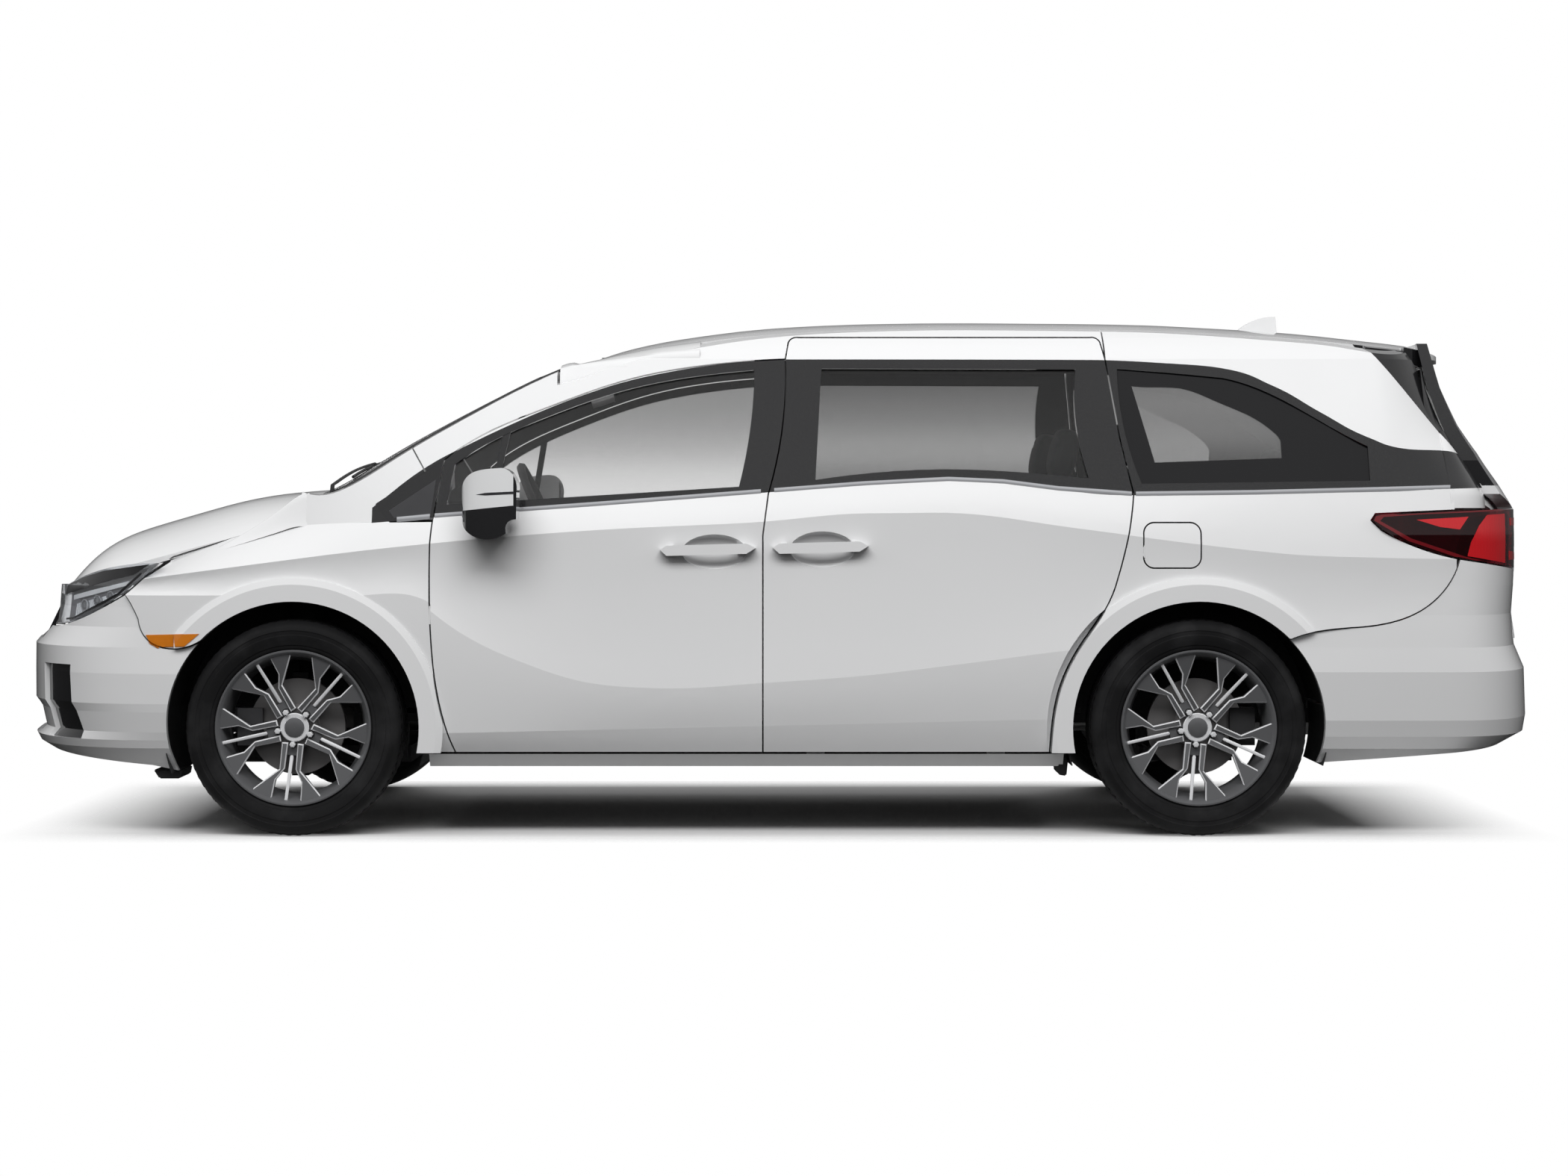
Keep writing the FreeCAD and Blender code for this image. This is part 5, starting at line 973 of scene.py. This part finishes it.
def add_housing_ends():
    """The lower ends of the wheel housings, down to the body's lower edge."""
    for end, axle in ENDS:
        inner = LINER_INNER_Y[end]
        centre = Vector((axle, 0, AXLE_Z))
        for side, way in SIDES:
            for place, sign in (("fore", -1), ("aft", 1)):
                foot = LINER_FRONT_FOOT if (end, place) == ("front", "fore") else LINER_FOOT
                rows = []
                for turn in evenly(math.radians(foot), math.radians(LINER_TOP), 12):
                    x = axle + sign * LINER_RADIUS * math.cos(turn)
                    z = AXLE_Z + LINER_RADIUS * math.sin(turn)
                    rows.append([(x, way * y, z) for y in evenly(inner, LINER_OUTER_Y, 4)])
                sheet(f"{end}_housing_{place}_{side}", rows, lambda p: (p - centre) * LINER_THICKNESS, DARK,
                      "root", 40)


def add_corner_panels():
    """The corner of the body beside the tailgate's glass, from the side panel round to the gate's edge."""
    for side, way in SIDES:
        rows = []
        for index in range(len(CORNER) * 2 - 1):
            pair = CORNER[index // 2], CORNER[(index + 1) // 2]
            z, y0, x1, y1 = ((p + q) / 2 for p, q in zip(*pair))
            start, end = Vector((CORNER_X, y0)), Vector((x1, y1))
            bend = start + (end - start) * Vector((0.8, 0.22))
            row = []
            for s in evenly(0, 1, 10):
                flat = start * (1 - s) ** 2 + bend * 2 * s * (1 - s) + end * s ** 2
                row.append((flat.x, -way * flat.y, z))
            rows.append(row)
        sheet(f"rear_corner_{side}", rows, (-0.003, -way * 0.004, 0), PAINT, "root")


def add_pillar_feet():
    """The fairing that runs each windscreen pillar's foot down into the wing."""
    skin = Surface("fenders")
    for side, way in SIDES:
        places = [skin.from_side(-1.574, z, way)[0] for z in FOOT_HEIGHTS]
        wall = [(abs(place.y), z) for place, z in zip(places, FOOT_HEIGHTS) if place]
        rows = []
        for k in range(24):
            s = min(1.0, k / 22)
            x = -2.000 + FOOT_STEP * k
            rise = s ** 1.8
            low = min(1.022, skin.height(x, way * (wall[0][0] - 0.004)) or 1.0)
            row = [(y + 0.0008, low - 0.006 + (z - 1.024) * rise + 0.006 * s) for y, z in wall]
            top = row[-1][1] + 0.006 * rise
            row += [(0.842, top), (0.8185, top), (0.8175, low - 0.03)]
            rows.append([(x, way * y, z) for y, z in row])
        sheet(f"pillar_foot_{side}", rows, (0, -way * 0.0006, -0.0006), PAINT, "root")


def bowed(start, end, steps, bow):
    """Points from one place to another, raised by a bow midway."""
    return [start.lerp(end, s) + Vector((0, 0, bow * math.sin(math.pi * s))) for s in evenly(0, 1, steps)]


def add_moulding(side, way, glass, pillar):
    """The rubber between the windscreen's edge and its pillar."""
    rows = []
    for x in evenly(-1.455, -0.71, 39):
        across = (0.8 - SEARCH_STEP * n for n in range(200))
        inner = next((y for y in across if glass.height(x, way * y)), None)
        if inner is None:
            continue
        low = glass.height(x, way * (inner - 0.006))
        across = (inner + SEARCH_STEP * n for n in range(80))
        reach = next((y for y in across if (pillar.height(x, way * y) or 0.0) > low - 0.09), None)
        if reach is None:
            continue
        outer = reach + 0.004
        high = pillar.height(x, way * outer) or pillar.height(x, way * reach)
        if outer - inner > 0.004:
            start = Vector((x, way * (inner - 0.006), low + 0.002))
            rows.append(bowed(start, Vector((x, way * outer, high + 0.0015)), 4, 0.004))
    sheet(f"screen_moulding_{side}", rows, (0, 0, -0.004), DARK, "root", 60)


def add_roof_corner(side, way, roof, pillar):
    """The cover of the gap at one of the roof's front corners."""
    rows = []
    for x in evenly(-0.732, -0.26, 23):
        edge = roof.height(x, way * ROOF_INNER_Y) or roof.height(x - 0.02, way * ROOF_INNER_Y)
        inner = Vector((x, way * ROOF_INNER_Y, edge + 0.002))
        outer = Vector((x, way * ROOF_OUTER_Y, line_at(ROOF_SIDE, x) + 0.002))
        reach = way * (0.745 if x < -0.5 else 0.73)
        foot = Vector((x, reach, min(pillar.height(x, reach) or outer.z, outer.z) + 0.001))
        rows.append(bowed(inner, outer, 8, 0.01) + [outer.lerp(foot, 0.45) + Vector((0, 0, 0.003)), foot])
    sheet(f"roof_corner_{side}", rows, (0, 0, -0.004), PAINT, "root")


def add_screen_edges():
    """The windscreen's mouldings, and the covers at the roof's front corners."""
    glass = Surface("windscreen")
    roof = Surface("roof_panel", "windscreen")
    pillar = Surface("fenders", "roof_rails")
    for side, way in SIDES:
        add_moulding(side, way, glass, pillar)
        add_roof_corner(side, way, roof, pillar)


def add_hood_seams():
    """The dark shut line between the hood and each wing."""
    hood = Surface("hood")
    wing = Surface("fenders")
    across = [0.6 + 0.001 * n for n in range(270)]
    for side, way in SIDES:
        points = []
        for x in evenly(-2.075, -1.59, 39):
            last = max((y for y in across if hood.height(x, way * y)), default=0.0)
            first = min((y for y in across if y > last and wing.height(x, way * y)), default=0.0)
            if 0.002 < first - last < 0.02:
                high = (hood.height(x, way * last) + wing.height(x, way * first)) / 2
                points.append(Vector((x, way * (first + last) / 2, high - 0.0005)))
        rod_along(f"hood_seam_{side}", points, 0.0016, sides=6)


def add_rear_lights():
    """The lit bars on the rear faces of the tail lamps and of the gate's lamps."""
    for name, body, node, bars in REAR_BARS:
        back = Surface(node)
        for side, way in SIDES:
            for index, (bar, look) in enumerate(bars):
                corners = [Vector((way * y, z)) for y, z in bar]
                rows = []
                for rise in evenly(0, 1, 4):
                    start, end = corners[0].lerp(corners[3], rise), corners[1].lerp(corners[2], rise)
                    row = [back.from_behind(*start.lerp(end, s))[0] for s in evenly(0, 1, 8)]
                    rows.append([place + Vector((0.0012, 0, 0)) for place in row])
                sheet(f"{name}_bar_{index}_{side}", rows, (-0.004, 0, 0), look, body, 40)


# Stage, light and camera

# Brightness of the studio from straight down to overhead
STUDIO = ((0.4, 0.05), (0.49, 0.09), (0.54, 0.34), (0.62, 0.85))
STUDIO_STRENGTH = 0.42

# Each lamp: name, place, the point it looks at, its two sizes and its power
LAMPS = (
    ("key", (-0.5, -7.0, 7.4), (0, 0, 0.6), 11.0, 3.5, 850),
    ("top", (0.5, 2.5, 7.0), (0, 0, 1.2), 8.0, 3.0, 15),
    ("nose", (-9, -3, 5.0), (-2, 0, 0.8), 3.0, 3.0, 60),
    ("far", (1.0, 8.0, 4.0), (0, 0, 0.9), 8.0, 3.0, 260),
    ("tail", (9, -2, 4.5), (2.4, 0, 0.9), 3.0, 3.0, 110),
)

# The camera stands 10.2 m from the vehicle's left side
CAMERA_PLACE = (0, -11.172, 1.09)
CAMERA_LENS = 70.8
CAMERA_SHIFT = (0.0048, -0.0512)


def make_world():
    """White to the eye, and a soft studio gradient in what it lights and mirrors."""
    world = bpy.data.worlds.new("studio")
    SCENE.world = world
    world.use_nodes = True
    world.node_tree.nodes.clear()
    g = Graph(world.node_tree)
    height = g.axes(g.add("TexCoord").outputs["Generated"])[2]
    shade = g.add("ValToRGB", {"Fac": g.ramp(height, 0, 1, -1)})
    steps = shade.color_ramp.elements
    steps[0].position, steps[0].color = 0.0, (0.05, 0.05, 0.05, 1)
    steps[1].position, steps[1].color = 0.75, (1, 1, 1, 1)
    for position, level in STUDIO:
        steps.new(position).color = (level, level, level * 1.01, 1)
    studio = g.add("Background", {"Color": shade.outputs["Color"], "Strength": STUDIO_STRENGTH})
    white = g.add("Background", {"Color": (1, 1, 1), "Strength": 1.0})
    path = g.add("LightPath").outputs
    seen = g.math("MAXIMUM", path["Is Camera Ray"], path["Is Transmission Ray"])
    both = {"Fac": seen, 1: studio.outputs["Background"], 2: white.outputs["Background"]}
    g.add("OutputWorld", {"Surface": g.add("MixShader", both).outputs["Shader"]})


def make_floor():
    """A pale floor that fades out round the vehicle."""
    mesh = bpy.data.meshes.new("floor")
    mesh.from_pydata([(-4, -3, 0), (4, -3, 0), (4, 3, 0), (-4, 3, 0)], [], [(0, 1, 2, 3)])
    floor = new_object("floor", mesh)
    s = Shader("floor_paper", Base_Color=(0.7, 0.7, 0.7), Specular_IOR_Level=0.2)
    s.roughness(0.7, 0.8, 4)
    x, y, _ = s.axes(s.place())
    along = s.inverse(s.ramp(s.math("ABSOLUTE", x), 0, 1, 2.0, 2.6))
    across = s.inverse(s.ramp(s.math("ABSOLUTE", y), 0, 1, 0.85, 1.15))
    s.set(Alpha=s.product(along, across))
    mesh.materials.append(s.material)


def make_lamps():
    """Rectangular lamps, seen neither in the paint nor through the glass."""
    for name, place, target, size, size_y, power in LAMPS:
        data = bpy.data.lights.new(name, "AREA")
        data.shape = "RECTANGLE"
        data.size = size
        data.size_y = size_y
        data.energy = power
        lamp = new_object(name, data)
        lamp.location = place
        lamp.rotation_euler = (Vector(target) - Vector(place)).to_track_quat("-Z", "Y").to_euler()
        lamp.visible_glossy = False
        lamp.visible_transmission = False


def make_camera():
    """The photograph's own view: level and square to the side."""
    data = bpy.data.cameras.new("camera")
    data.sensor_width = 36
    data.lens = CAMERA_LENS
    data.shift_x, data.shift_y = CAMERA_SHIFT
    data.clip_end = 200
    camera = new_object("camera", data)
    camera.location = CAMERA_PLACE
    camera.rotation_euler = (math.radians(90), 0, 0)
    SCENE.camera = camera


dress_nodes()
add_wheels()
add_belt_strips()
add_lamp_details()
add_cabin()
add_wipers()
add_flaps()
add_housing_ends()
add_corner_panels()
add_pillar_feet()
add_screen_edges()
add_hood_seams()
add_rear_lights()
make_world()
make_floor()
make_lamps()
make_camera()
SCENE.view_settings.view_transform = "Standard"
